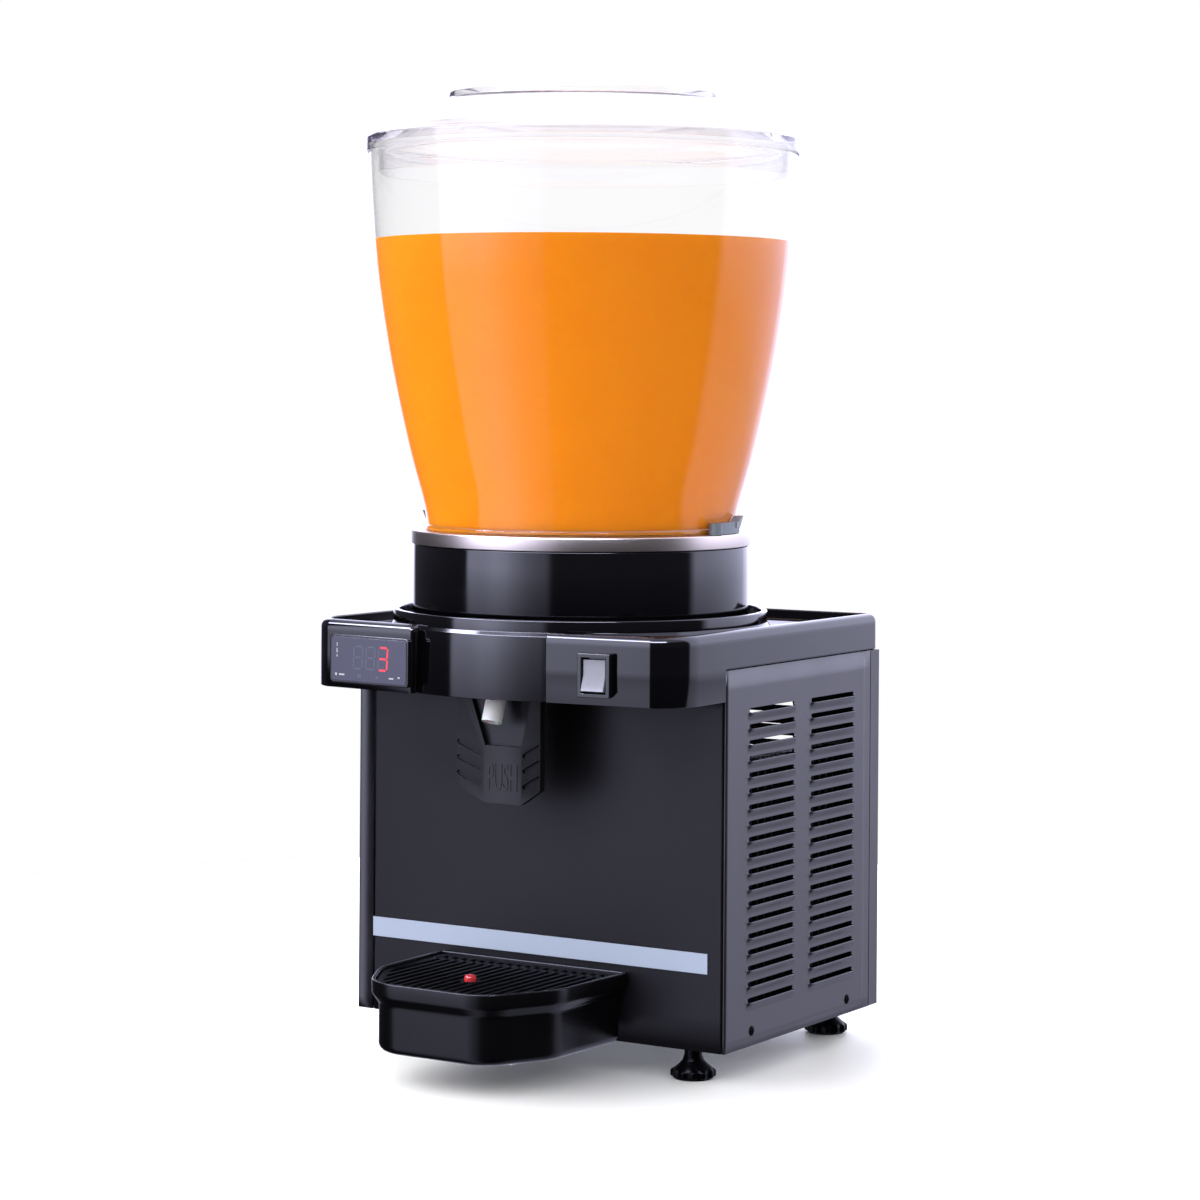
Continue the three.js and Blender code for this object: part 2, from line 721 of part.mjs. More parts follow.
function basePan() {
  const [outer, inner] = [halfWidth - sheet - fit, halfWidth - sheet * 2 - fit];
  const channel = prism('y', [
    [-outer, 0], [outer, 0], [outer, panFlange], [inner, panFlange], [inner, sheet],
    [-inner, sheet], [-inner, panFlange], [-outer, panFlange],
  ], sheet + fit, cabinetDepth - sheet - fit);
  const corners = [
    [sheet, panInset], [cabinetDepth - panInset, cabinetDepth],
  ].flatMap(([low, high]) => [-1, 1].map((side) => box(
    Math.min(side * (inner - overrun), side * (outer + overrun)),
    Math.max(side * (inner - overrun), side * (outer + overrun)),
    low, high, sheet, panFlange + overrun)));
  const rearCorner = box(halfWidth - sheet * 2, halfWidth, cabinetDepth - panInset, cabinetDepth,
    -overrun, panFlange);
  const bosses = footPlaces.map(([, x, y]) => rod('z', footBossRadius, x, y, 0, footBossHeight,
    tinySides));
  const studs = footPlaces.map(([, x, y]) => rod('z', boreFor(footStudRadius, tinySides), x, y,
    -overrun, footBossHeight + overrun, tinySides));
  return piece('base_pan', cut(join(channel, ...bosses), ...corners, rearCorner, ...studs,
    ...sideHoles(1, boreFor(screwShankRadius, tinySides)),
    ...sideHoles(-1, boreFor(screwShankRadius, tinySides))), zincSteel);
}

function sideScrews() {
  const names = ['front', 'rear'];
  return [[-1, 'left'], [1, 'right']].flatMap(([side, word]) => screwPlaces.map((place, i) => {
    const seat = halfWidth - sheet;
    const head = [seat, halfWidth].map((x) => side * x).sort((a, b) => a - b);
    const shank = [seat - screwShankLength, seat + sheet / 2].map((x) => side * x);
    shank.sort((a, b) => a - b);
    return piece(`screw_${word}_${names[i]}`, join(
      rod('x', screwHeadRadius, place, screwHeight, ...head, tinySides),
      rod('x', screwShankRadius, place, screwHeight, ...shank, tinySides)), blackMatt);
  }));
}

function trimStrip() {
  return piece('trim_strip', box(frontLeft, stripHalfLength, -fit - stripThickness, -fit,
    stripLow, stripHigh), paleStrip);
}

// Levelling foot with a lobed rim, a flared neck and its threaded stud
function foot(name, x, y) {
  const points = footLobes * 2;
  const ring = (radius, z, lobe) => Array.from({ length: points }, (_, i) => {
    const angle = (i * 2 * Math.PI) / points;
    const reach = i % 2 === 0 ? radius : radius - lobe;
    return new THREE.Vector3(reach * Math.cos(angle), reach * Math.sin(angle), z);
  });
  const [rimLow, rimHigh, rimTop] = footRimShares.map((share) => (share - 1) * footHeight);
  const rings = [
    ring(footRadius * footPadShare, -footHeight, 0),
    ring(footRadius, rimLow, lobeDepth),
    ring(footRadius, rimHigh, lobeDepth),
    ring(footRadius * footPadShare, rimTop, 0),
  ];
  const neck = revolve([
    [0, rimLow], [footRadius * footPadShare, rimHigh], [footRadius * footPadShare, rimTop],
    ...footFlareShares.map(([rise, spread]) => [
      footNeckRadius + (footRadius - footNeckRadius) * spread, (rise - 1) * footHeight]),
    [footNeckRadius, -fit], [0, -fit],
  ], tinySides);
  const stud = rod('z', footStudRadius, 0, 0, -footNeckRadius, footStudLength, 6);
  const mesh = piece(name, join(loft(rings), neck, stud), blackMatt);
  mesh.position.set(x, y, 0);
  return mesh;
}

// Hood outline, as arcs from the left facet's inner end round the rear to the right one's
function hoodArcs(innerEnd, endRadius) {
  const turn = rad(facetTurn);
  const normal = -90 + facetTurn;
  // Height of an arc's centre so that the arc touches the facet's line
  const centreOnFacet = (x, radius) => facetCentreY
    + (radius - Math.sin(turn) * (facetCentreX - x)) / Math.cos(turn);
  const cornerX = halfWidth - hoodCornerRadius;
  const endX = innerEnd + endRadius;
  const right = [
    { x: endX, y: centreOnFacet(endX, endRadius), radius: endRadius, from: -halfTurn, to: normal,
      steps: cornerSteps },
    { x: cornerX, y: centreOnFacet(cornerX, hoodCornerRadius), radius: hoodCornerRadius,
      from: normal, to: 0, steps: cornerSteps },
    { x: halfWidth - hoodRearRadius, y: cabinetDepth - hoodRearRadius, radius: hoodRearRadius,
      from: 0, to: 90, steps: cornerSteps },
  ];
  const left = right.map((arc) => ({
    ...arc, x: -arc.x, from: halfTurn - arc.to, to: halfTurn - arc.from,
  })).reverse();
  return [...right, ...left];
}

// The two facets' ends are closed by a straight line at hoodInnerY, inside the bulge
function hoodRing(inset, z, innerEnd = facetInnerEnd, endRadius = facetEndRadius) {
  const ring = arcRing(hoodArcs(innerEnd, endRadius), inset, z);
  const [first, last] = [ring[0], ring.at(-1)];
  return [...ring, new THREE.Vector3(last.x, hoodInnerY, z),
    new THREE.Vector3(first.x, hoodInnerY, z)];
}

const facetPlace = (side, z) => {
  const group = new THREE.Group();
  group.position.set(side * facetCentreX, facetCentreY, z);
  group.rotation.z = side * rad(facetTurn);
  group.updateMatrix();
  return group;
};

// Box in a facet's own directions, moved to the facet
function facetTool(side, z, width, height, low, high) {
  const geometry = new THREE.BoxGeometry(width, high - low, height);
  geometry.translate(0, (low + high) / 2, 0);
  geometry.applyMatrix4(facetPlace(side, z).matrix);
  return toSolid(geometry);
}

const skirtBottom = cabinetHeight + seam;
const deckLevel = hoodTop - deckDepth;
const centralDisc = (radius, low, high) => revolve(
  [[0, low], [radius, low], [radius, high], [0, high]], ringSides, 0, bowlAxisY);

function hood() {
  const edge = hoodEdgeShares.map(([inset, rise]) => hoodRing(
    inset * hoodEdge, hoodTop - hoodEdge + rise * hoodEdge));
  const shell = loft([hoodRing(0, hoodBottom), hoodRing(0, hoodTop - hoodEdge), ...edge]);
  const crease = seatLevel - bulgeEdge;
  const ringInner = lipRingRadius - lipRingWall;
  const bulge = revolve([
    [0, hoodBottom], [bulgeRadius + bulgeDraft, hoodBottom], [bulgeRadius - bulgeDraft, crease],
    [lipRingRadius, seatLevel], [lipRingRadius, lipRingTop - lipRingEdge],
    [lipRingRadius - lipRingEdge, lipRingTop], [ringInner, lipRingTop],
    [ringInner, seatLevel], [0, seatLevel],
  ], bowlSides, 0, bowlAxisY);
  const recess = cut(
    loft([hoodRing(hoodRim, deckLevel, recessInnerEnd, recessEndRadius + hoodRim),
      hoodRing(hoodRim, hoodTop + overrun, recessInnerEnd, recessEndRadius + hoodRim)]),
    revolve([[0, hoodBottom], [lipRingRadius, hoodBottom], [lipRingRadius, lipRingTop],
      [0, lipRingTop]], bowlSides, 0, bowlAxisY));
  const seat = centralDisc(ringInner, seatLevel, lipRingTop + overrun);
  const cavity = join(
    loft([hoodRing(hoodWall, hoodBottom - overrun), hoodRing(hoodWall, deckLevel - hoodWall)]),
    centralDisc(bulgeRadius - hoodWall, hoodBottom - overrun, deckLevel - hoodWall),
    centralDisc(lipRingRadius - lipRingWall, hoodBottom - overrun, seatLevel - hoodWall));
  const overCabinet = box(-cabinetWidth, cabinetWidth, -seam, cabinetDepth + cabinetWidth,
    hoodBottom - overrun, skirtBottom);
  const deckHole = centralDisc(deckHoleRadius, seatLevel - hoodWall - overrun,
    seatLevel + overrun);
  const outletHole = rod('z', outletHoleRadius, 0, outletY, seatLevel - hoodWall - overrun,
    seatLevel + overrun);
  const pipeHole = rod('z', pipeHoleRadius, 0, pipeHoleY, seatLevel - hoodWall - overrun,
    seatLevel + overrun);
  const windows = [
    facetTool(-1, controllerZ, controllerWidth + fit * 2, controllerHeight + fit * 2,
      -overrun, hoodWall * 2),
    facetTool(1, switchZ, switchBodyWidth + fit * 2, switchBodyHeight + fit * 2,
      -overrun, hoodWall * 2),
  ];
  return piece('hood', cut(join(cut(shell, seat), bulge), recess, cavity, overCabinet, deckHole,
    outletHole, pipeHole, ...windows), blackGloss);
}

function hoodUnderplate() {
  const low = hoodBottom + fit;
  const high = low + underplateThickness;
  const plate = join(
    loft([hoodRing(hoodWall + fit, low), hoodRing(hoodWall + fit, high)]),
    centralDisc(bulgeRadius - hoodWall - fit, low, high));
  const behind = box(-cabinetWidth, cabinetWidth, -seam - fit, cabinetDepth + cabinetWidth,
    low - overrun, high + overrun);
  const window = box(-tapWindowHalfWidth, tapWindowHalfWidth, tapWindowFront, tapWindowRear,
    low - overrun, high + overrun);
  return piece('hood_underplate', cut(plate, behind, window), blackMatt);
}

// Round pieces under the bowl, on the bowl's axis
const basinFloor = basinTop - basinDepth;
const coilRadius = cornerOf(basinInnerRadius + steel + fit + coilTubeRadius, coilStepsPerTurn);
const foamInnerRadius = cornerOf(coilRadius + coilTubeRadius + foamInnerGap, hiddenSides);
const foamOuterRadius = flatOf(collarNeckRadius - collarNeckWall, bowlSides) - fit;
const foamBottom = seatLevel + fit;
const pipeHoleY = bowlAxisY + coilRadius;

function collar() {
  const inner = collarNeckRadius - collarNeckWall;
  const base = seatLevel + fit;
  return piece('collar', revolve([
    [collarRadius, base], [collarRadius, collarTop - fit], [collarRadius - fit, collarTop],
    [collarNeckRadius, collarTop], [collarNeckRadius, basinTop - steel - fit],
    [inner, basinTop - steel - fit], [inner, collarTop], [collarRadius - collarWall, collarTop],
    [collarRadius - collarWall, base], [collarRadius, base],
  ], bowlSides), blackGloss);
}

function basin() {
  const skirtLow = basinTop - basinSkirt;
  const pan = revolve([
    [0, basinFloor], [basinFloorRadius - basinFloorRound, basinFloor],
    [basinInnerRadius - steel, basinFloor + basinFloorRound * 2],
    [basinInnerRadius, basinTop - basinBead], [basinInnerRadius + basinBead, basinTop],
    [basinRadius - basinBead, basinTop], [basinRadius, basinTop - basinBead],
    [basinRadius, skirtLow], [basinRadius - steel, skirtLow],
    [basinRadius - steel, basinTop - steel], [basinInnerRadius + steel, basinTop - steel],
    [basinInnerRadius, basinFloor + basinFloorRound * 2 - steel],
    [basinFloorRadius - basinFloorRound, basinFloor - steel], [0, basinFloor - steel],
  ], bowlSides);
  const spindle = rod('z', spindleRadius, 0, 0, basinFloor - steel / 2,
    basinFloor + spindleLength);
  const spigotY = outletY - bowlAxisY;
  const spigot = rod('z', spigotRadius, 0, spigotY, basinFloor - steel - spigotLength,
    basinFloor - steel / 2);
  const spigotBore = rod('z', spigotRadius - spigotWall, 0, spigotY,
    basinFloor - steel - spigotLength - overrun, basinFloor + overrun);
  return piece('basin', cut(join(pan, spindle, spigot), spigotBore), brightSteel);
}

class Helix extends THREE.Curve {
  constructor(radius, low, pitch, turns) {
    super();
    Object.assign(this, { radius, low, pitch, turns });
  }

  getPoint(t, target = new THREE.Vector3()) {
    const angle = t * this.turns * 2 * Math.PI;
    return target.set(-this.radius * Math.sin(angle), this.radius * Math.cos(angle),
      this.low + t * this.turns * this.pitch);
  }
}

function evaporatorCoil() {
  return piece('evaporator_coil', tube(new Helix(coilRadius, basinFloor + coilRise, coilPitch, coilTurns),
    coilTubeRadius, coilTurns * coilStepsPerTurn, coilTubeSides), copper);
}

function insulation() {
  const top = basinTop - steel - fit;
  const cup = revolve([
    [foamHoleRadius, foamBottom], [foamOuterRadius, foamBottom], [foamOuterRadius, top],
    [foamInnerRadius, top], [foamInnerRadius, foamBottom + foamFloor],
    [foamHoleRadius, foamBottom + foamFloor], [foamHoleRadius, foamBottom],
  ], hiddenSides);
  const outlet = rod('z', outletHoleRadius, 0, outletY - bowlAxisY, foamBottom - overrun,
    foamBottom + foamFloor + overrun);
  const pipe = rod('z', pipeHoleRadius, 0, coilRadius, foamBottom - overrun,
    foamBottom + foamFloor + overrun);
  return piece('insulation', cut(cup, outlet, pipe), foam);
}

const bowlFoot = basinTop + fit;

function bowlGasket() {
  const outer = flatOf(bowlFootRadius - bowlWall, bowlSides) - fit;
  const inner = outer - gasketSide;
  const top = bowlFoot + gasketSide;
  return piece('bowl_gasket', revolve([
    [inner, bowlFoot], [outer, bowlFoot], [outer, top - gasketSide / 3],
    [inner + gasketSide / 3, top], [inner, bowlFoot],
  ], ringSides), rubber);
}

// The bowl's outer wall from foot to rim, and the same curve moved in for the inner wall
function bowlWallPoints(inset) {
  const curve = new THREE.SplineCurve(bowlHeightShares.map((rise, i) => new THREE.Vector2(
    bowlFootRadius + bowlRadiusShares[i] * (bowlRimRadius - bowlFootRadius) - inset,
    bowlFoot + rise * bowlHeight)));
  return curve.getPoints(bowlHeightShares.length + 1).map(({ x, y }) => [x, y]);
}

function bowl() {
  const outer = bowlWallPoints(0).slice(1);
  const inner = bowlWallPoints(bowlWall).reverse();
  const flangeRadius = bowlFootRadius + bowlFootFlange;
  const [footRadius0] = bowlWallPoints(0)[0];
  return piece('bowl', revolve([
    [inner.at(-1)[0], bowlFoot], [flangeRadius, bowlFoot],
    [flangeRadius, bowlFoot + bowlFootFlangeHeight],
    [footRadius0, bowlFoot + bowlFootFlangeHeight + bowlFootFlange],
    ...outer, ...inner.slice(0, -1), [inner.at(-1)[0], bowlFoot],
  ], bowlSides), clearPlastic);
}

function lid() {
  const bowlTop = bowlFoot + bowlHeight;
  const seatTop = bowlTop + fit; // underside of the flange on the bowl's rim
  const flangeTop = seatTop + lidFlangeHeight - lidOverlap;
  const skirtLow = seatTop - lidOverlap;
  const run = lidConeFootRadius - lidConeTopRadius;
  const coneTop = flangeTop + lidConeRise;
  const crownTop = coneTop + crownHeight;
  const crownInner = lidConeTopRadius - crownWidth;
  const discRadius = crownInner - crownWidth / 2;
  const discTop = crownTop - crownDepth;
  const cone = [[0, 0], ...lidConeShares, [1, 1]].map(([along, rise]) => [
    lidConeFootRadius - along * run, flangeTop + rise * lidConeRise]);
  const coneInner = cone.slice(1).map(([radius, z]) => [radius - lidWall, z - lidWall]);
  return piece('lid', revolve([
    [0, discTop], [discRadius, discTop], [crownInner, crownTop],
    [lidConeTopRadius - lidWall / 2, crownTop], ...cone.reverse(),
    [lidFlangeRadius - lidWall / 2, flangeTop - lidWall / 2], [lidFlangeRadius, skirtLow],
    [lidFlangeRadius - lidWall, skirtLow], [lidFlangeRadius - lidWall, seatTop],
    [plugRadius, seatTop], [plugRadius, bowlTop - plugDepth],
    [plugRadius - lidWall, bowlTop - plugDepth], [plugRadius - lidWall, seatTop],
    ...coneInner.slice(0, -1), [crownInner - lidWall, coneTop - lidWall],
    [discRadius - lidWall, discTop - lidWall], [0, discTop - lidWall],
  ], bowlSides), clearPlastic);
}

// Swivel latch: a boss, a bar curved round the bowl's foot, and a thumb tab that rises at its end.
// The left latch is the right one turned half round the bowl's axis.
function latch(name, facing) {
  const inner = bowlFootRadius + bowlFootFlange + latchGap;
  const bossPath = inner + latchBossRadius;
  const base = bowlFoot;
  const boss = rod('z', latchBossRadius, 0, 0, base, base + latchHeight);
  const bossAngle = rad(latchStart);
  const place = (radius, degrees) => [
    radius * Math.cos(rad(degrees)) - bossPath * Math.cos(bossAngle),
    radius * Math.sin(rad(degrees)) - bossPath * Math.sin(bossAngle)];
  const steps = cornerSteps;
  const sweep = (radius, turn) => Array.from({ length: steps + 1 }, (_, i) => place(
    radius, latchStart + (turn * i) / steps));
  const bar = prism('z', [...sweep(inner, latchTurn),
    ...sweep(inner + latchWidth, latchTurn).reverse()], base, base + latchHeight);
  const tab = prism('x', [
    [-latchTabLength, base + latchHeight], [-latchTabLength, base + latchHeight / 2],
    [0, base + latchHeight / 2], [latchTabLength / 2, base + latchHeight],
    [latchTabLength, base + latchHeight + latchTabRise],
    [latchTabLength * latchTipShare, base + latchHeight + latchTabRise],
    [-latchTabLength / 2, base + latchHeight],
  ], -latchWidth / 2, latchWidth / 2).rotate([0, 0, latchStart + latchTurn])
    .translate([...place(inner + latchWidth / 2 + fit, latchStart + latchTurn), 0]);
  const pinHole = rod('z', latchPinRadius, 0, 0, base + latchHeight / 2,
    base + latchHeight + overrun, tinySides);
  const mesh = piece(name, cut(join(boss, bar, tab), pinHole), greyPlastic);
  const holder = new THREE.Group();
  holder.rotation.z = facing;
  mesh.position.set(bossPath * Math.cos(bossAngle), bossPath * Math.sin(bossAngle), 0);
  holder.add(mesh);
  return holder;
}

// Mixing paddle on the basin's spindle, with curved vanes over its magnet disc
function impeller() {
  const base = basinFloor + fit;
  const top = base + impellerDisc + impellerVaneHeight;
  const bore = boreFor(spindleRadius, hiddenSides);
  const body = revolve([
    [bore, base], [impellerDiscRadius, base],
    [impellerDiscRadius, base + impellerDisc / 2], [impellerHubRadius, base + impellerDisc],
    [impellerHubRadius / 2 + spindleRadius / 2, top], [bore, top], [bore, base],
  ], hiddenSides);
  const vanes = Array.from({ length: impellerVanes }, (_, vane) => {
    const start = (vane * 2 * Math.PI) / impellerVanes;
    const along = (radius, offset) => {
      const reach = (radius - spindleRadius) / (impellerRadius - spindleRadius);
      const angle = start + rad(impellerSweep) * reach * reach;
      return [radius * Math.cos(angle) - offset * Math.sin(angle),
        radius * Math.sin(angle) + offset * Math.cos(angle)];
    };
    const inner = bore + fit;
    const radii = Array.from({ length: cornerSteps + 1 }, (_, i) => inner
      + ((impellerRadius - inner) * i) / cornerSteps);
    return prism('z', [...radii.map((r) => along(r, -impellerVaneThickness / 2)),
      ...radii.reverse().map((r) => along(r, impellerVaneThickness / 2))],
    base + impellerDisc / 2, top - impellerDisc / 2);
  });
  return piece('impeller', join(body, ...vanes), whiteSilicone);
}

const magnetTop = basinFloor - steel - fit * 4;

function driveMagnet() {
  const low = magnetTop - magnetHeight;
  const bore = boreFor(motorShaftRadius, hiddenSides);
  return piece('drive_magnet', revolve([
    [bore, low], [magnetRadius, low], [magnetRadius, magnetTop], [bore, magnetTop], [bore, low],
  ], hiddenSides), zincSteel);
}

function mixerMotor() {
  const flangeTop = seatLevel - hoodWall - fit;
  const flangeLow = flangeTop - motorFlange;
  return piece('mixer_motor', revolve([
    [0, flangeLow - motorHeight], [motorRadius, flangeLow - motorHeight],
    [motorRadius, flangeLow], [deckHoleRadius + motorFlangeLap, flangeLow], [deckHoleRadius + motorFlangeLap, flangeTop],
    [motorRadius / 2, flangeTop], [motorShaftRadius * 2, magnetTop - magnetHeight - fit],
    [motorShaftRadius, magnetTop - magnetHeight - fit], [motorShaftRadius, magnetTop - fit],
    [0, magnetTop - fit],
  ], hiddenSides), zincSteel);
}

// Thermostat: bezel, housing behind it, and the display's window let into the bezel
function controller() {
  const bezel = prism('y', roundedRectangle(0, 0, bezelWidth, bezelHeight, bezelRadius),
    -fit - bezelProud, -fit);
  const housing = box(-controllerWidth / 2, controllerWidth / 2, -bezelProud / 2, controllerDepth,
    -controllerHeight / 2, controllerHeight / 2);
  const recess = prism('y', roundedRectangle(0, 0, bezelWidth - windowMargin * 2,
    bezelHeight - windowMargin * 2, bezelRadius - windowMargin / 2),
  -bezelProud - overrun, -bezelProud + windowThickness);
  const holder = facetPlace(-1, controllerZ);
  holder.add(piece('controller', cut(join(bezel, housing), recess), blackMatt));
  holder.add(piece('controller_window', prism('y', roundedRectangle(0, 0,
    bezelWidth - (windowMargin + fit) * 2, bezelHeight - (windowMargin + fit) * 2,
    bezelRadius - windowMargin / 2), -fit - bezelProud, -fit - bezelProud + windowThickness),
  displayGlass));
  return holder;
}

// Rocker switch: housing with a pocket, and a rocker whose two halves slope apart
function rockerSwitch() {
  const frame = prism('y', roundedRectangle(0, 0, switchWidth, switchHeight, switchRadius),
    -fit - switchProud, -fit);
  const housing = box(-switchBodyWidth / 2, switchBodyWidth / 2, -switchProud / 2,
    switchBodyDepth, -switchBodyHeight / 2, switchBodyHeight / 2);
  const pocket = box(-rockerWidth / 2 - fit, rockerWidth / 2 + fit, -fit - switchProud - overrun,
    -fit - switchProud + rockerPocket, -rockerHeight / 2 - fit * 4, rockerHeight / 2 + fit * 4);
  const rise = (rockerHeight / 2) * Math.tan(rad(rockerTilt));
  const front = -rockerProud;
  const rocker = prism('x', [
    [front + rise, -rockerHeight / 2], [front + rise + rockerThickness, -rockerHeight / 2],
    [front + rise + rockerThickness + rise, 0],
    [front + rise + rockerThickness, rockerHeight / 2], [front + rise, rockerHeight / 2],
    [front + rise * 2, 0],
  ], -rockerWidth / 2, rockerWidth / 2);
  const holder = facetPlace(1, switchZ);
  holder.add(piece('switch_housing', cut(join(frame, housing), pocket), blackMatt));
  const mesh = piece('rocker', rocker, paleRocker);
  mesh.position.set(0, -fit - switchProud, 0);
  mesh.rotation.x = -rad(rockerTilt);
  holder.add(mesh);
  return holder;
}

// Drink tube from under the basin's spigot to the nozzle, leaning forwards at its end
const tubeTop = basinFloor - steel - spigotLength - fit;
const tubeCurve = through([
  [0, outletY, tubeTop], [0, outletY, tubeTop - tubeRadius],
  [0, (outletY * 2 + tubeTipY) / 3, (tubeTop * 2 + tubeTipZ) / 3],
  [0, (outletY + tubeTipY * 3) / 4, (tubeTop + tubeTipZ * 3) / 4], [0, tubeTipY, tubeTipZ],
]);

function drinkTube() {
  return piece('drink_tube', cut(
    tube(tubeCurve, tubeRadius, cornerSteps * 2, smallSides),
    tube(tubeBore(), tubeBoreRadius, cornerSteps * 2, tinySides)), whiteSilicone);
}

// The bore's path runs past both ends of the tube
function tubeBore() {
  const points = tubeCurve.getPoints(cornerSteps * 2);
  const ends = [[points[0], points[1]], [points.at(-1), points.at(-2)]].map(([end, next]) => {
    const out = end.clone().sub(next).normalize().multiplyScalar(overrun);
    return end.clone().add(out);
  });
  return through([ends[0], ...points, ends[1]].map((point) => point.toArray()));
}

// How much wider the leaning tube is across its level section
const tubeLean = 1.06;

// Middle of the tube at a height, for the pieces that close on it
function tubeYAt(z) {
  const points = tubeCurve.getPoints(cornerSteps * 16);
  const near = points.reduce((best, point) => (
    Math.abs(point.z - z) < Math.abs(best.z - z) ? point : best));
  return near.y;
}

const bracketHalfWidth = armOuter + earGap + earThickness;
const anvilFront = tubeYAt(pinchZ + anvilHeight / 2) + tubeRadius * tubeLean + fit * 4;
const pinchY = tubeYAt(pinchZ - pinchBarRadius) - tubeRadius * tubeLean - pinchBarRadius - fit * 2;

// Bracket on the front panel: back plate, two ears for the pin, and the anvil behind the tube
function tapBracket() {
  const plate = box(-bracketHalfWidth, bracketHalfWidth, -fit - bracketPlate, -fit,
    bracketBottom, bracketTop);
  const earOutline = new THREE.Shape();
  earOutline.moveTo(-fit - bracketPlate / 2, bracketBottom);
  earOutline.lineTo(leverPivotY, bracketBottom);
  earOutline.absarc(leverPivotY, leverPivotZ, leverPivotZ - bracketBottom,
    -Math.PI / 2, -Math.PI, true);
  earOutline.lineTo(leverPivotY - leverPivotZ + bracketBottom, leverPivotZ);
  earOutline.absarc(leverPivotY, leverPivotZ, leverPivotZ - bracketBottom,
    Math.PI, Math.PI / 2, true);
  earOutline.lineTo(-fit - bracketPlate / 2, pinchZ - anvilHeight / 2);
  const ears = [-bracketHalfWidth, bracketHalfWidth - earThickness].map((low) => prism(
    'x', earOutline, low, low + earThickness));
  const anvil = box(-anvilHalfWidth, anvilHalfWidth, anvilFront, -fit - bracketPlate / 2,
    pinchZ - anvilHeight / 2, pinchZ + anvilHeight / 2);
  const pinHoles = rod('x', boreFor(pinRadius, smallSides), leverPivotY, leverPivotZ,
    -bracketHalfWidth - overrun, bracketHalfWidth + overrun);
  return piece('tap_bracket', cut(join(plate, ...ears, anvil), pinHoles), zincSteel);
}

function leverPin() {
  const end = bracketHalfWidth + fit;
  return piece('lever_pin', join(
    rod('x', pinRadius, leverPivotY, leverPivotZ, -end, end + pinHead),
    rod('x', pinRadius * 2, leverPivotY, leverPivotZ, end, end + pinHead)), brightSteel);
}

// Plan of the lever's front face, moved back by a depth
const leverFace = (depth) => [
  [-leverHalfWidth, leverFaceY - leverWingReach + depth], [-leverPadHalfWidth, leverFaceY + depth],
  [leverPadHalfWidth, leverFaceY + depth], [leverHalfWidth, leverFaceY - leverWingReach + depth],
];

// Everything in front of the lever's face at a depth, to cut recesses of that depth
function inFront(depth, low, high) {
  const clear = leverFaceY - leverWingReach - leverThickness;
  return prism('z', [...leverFace(depth), [leverHalfWidth, clear], [-leverHalfWidth, clear]],
    low, high);
}

// Push lever: a plate that is hollow towards the cup, with a recess behind the nozzle, slotted
// wings, arms to the pin and a pinch bar in front of the tube
function pushLever() {
  const body = prism('z', [...leverFace(leverThickness), ...leverFace(0).reverse()],
    leverBottom, leverTop);
  const outline = prism('y', [
    [-leverPadHalfWidth, leverBottom], [leverPadHalfWidth, leverBottom],
    [leverHalfWidth, leverWingBottom], [leverHalfWidth, leverTop],
    [-leverHalfWidth, leverTop], [-leverHalfWidth, leverWingBottom],
  ], leverFaceY - leverThickness * 2, leverFaceY + leverThickness * 2);
  const recess = common(inFront(leverThickness - leverWeb, leverPadTop, leverTop + overrun),
    prism('y', [
      [-leverPadHalfWidth, leverPadTop], [leverPadHalfWidth, leverPadTop],
      [leverRecessHalfWidth, leverTop + overrun], [-leverRecessHalfWidth, leverTop + overrun],
    ], leverFaceY - leverThickness * 2, leverFaceY + leverThickness));
  const slots = Array.from({ length: slotCount }, (_, i) => slotTop - i * slotPitch)
    .flatMap((z) => [-1, 1].map((side) => common(
      inFront(slotDepth, leverBottom, leverTop),
      prism('y', capsule(side * (leverPadHalfWidth + slotMargin + slotWidth / 2), z,
        side * (leverHalfWidth - slotMargin), z + slotRise, slotWidth),
      leverFaceY - leverThickness * 2, leverFaceY + leverThickness))));
  const back = leverFaceY + leverThickness;
  const armOutline = [
    [back - leverWeb / 2, leverPivotZ - armRadius * 4], [leverPivotY, leverPivotZ - armRadius],
    [leverPivotY + armRadius, leverPivotZ], [leverPivotY, leverPivotZ + armRadius],
    [pinchY + pinchBarRadius, pinchZ + pinchBarRadius],
    [pinchY - pinchBarRadius, pinchZ + pinchBarRadius],
    [pinchY - pinchBarRadius, pinchZ - pinchBarRadius],
    [back - leverWeb, leverTop],
  ];
  const arms = [[-armOuter, -armInner], [armInner, armOuter]].map(([low, high]) => prism(
    'x', armOutline, low, high));
  const bar = rod('x', pinchBarRadius, pinchY, pinchZ, -armOuter, armOuter);
  const pinHole = rod('x', boreFor(pinRadius, smallSides), leverPivotY, leverPivotZ,
    -armOuter - overrun, armOuter + overrun);
  const plate = cut(common(body, outline), recess, ...slots);
  return piece('push_lever', cut(join(plate, ...arms, bar), pinHole), blackMatt);
}

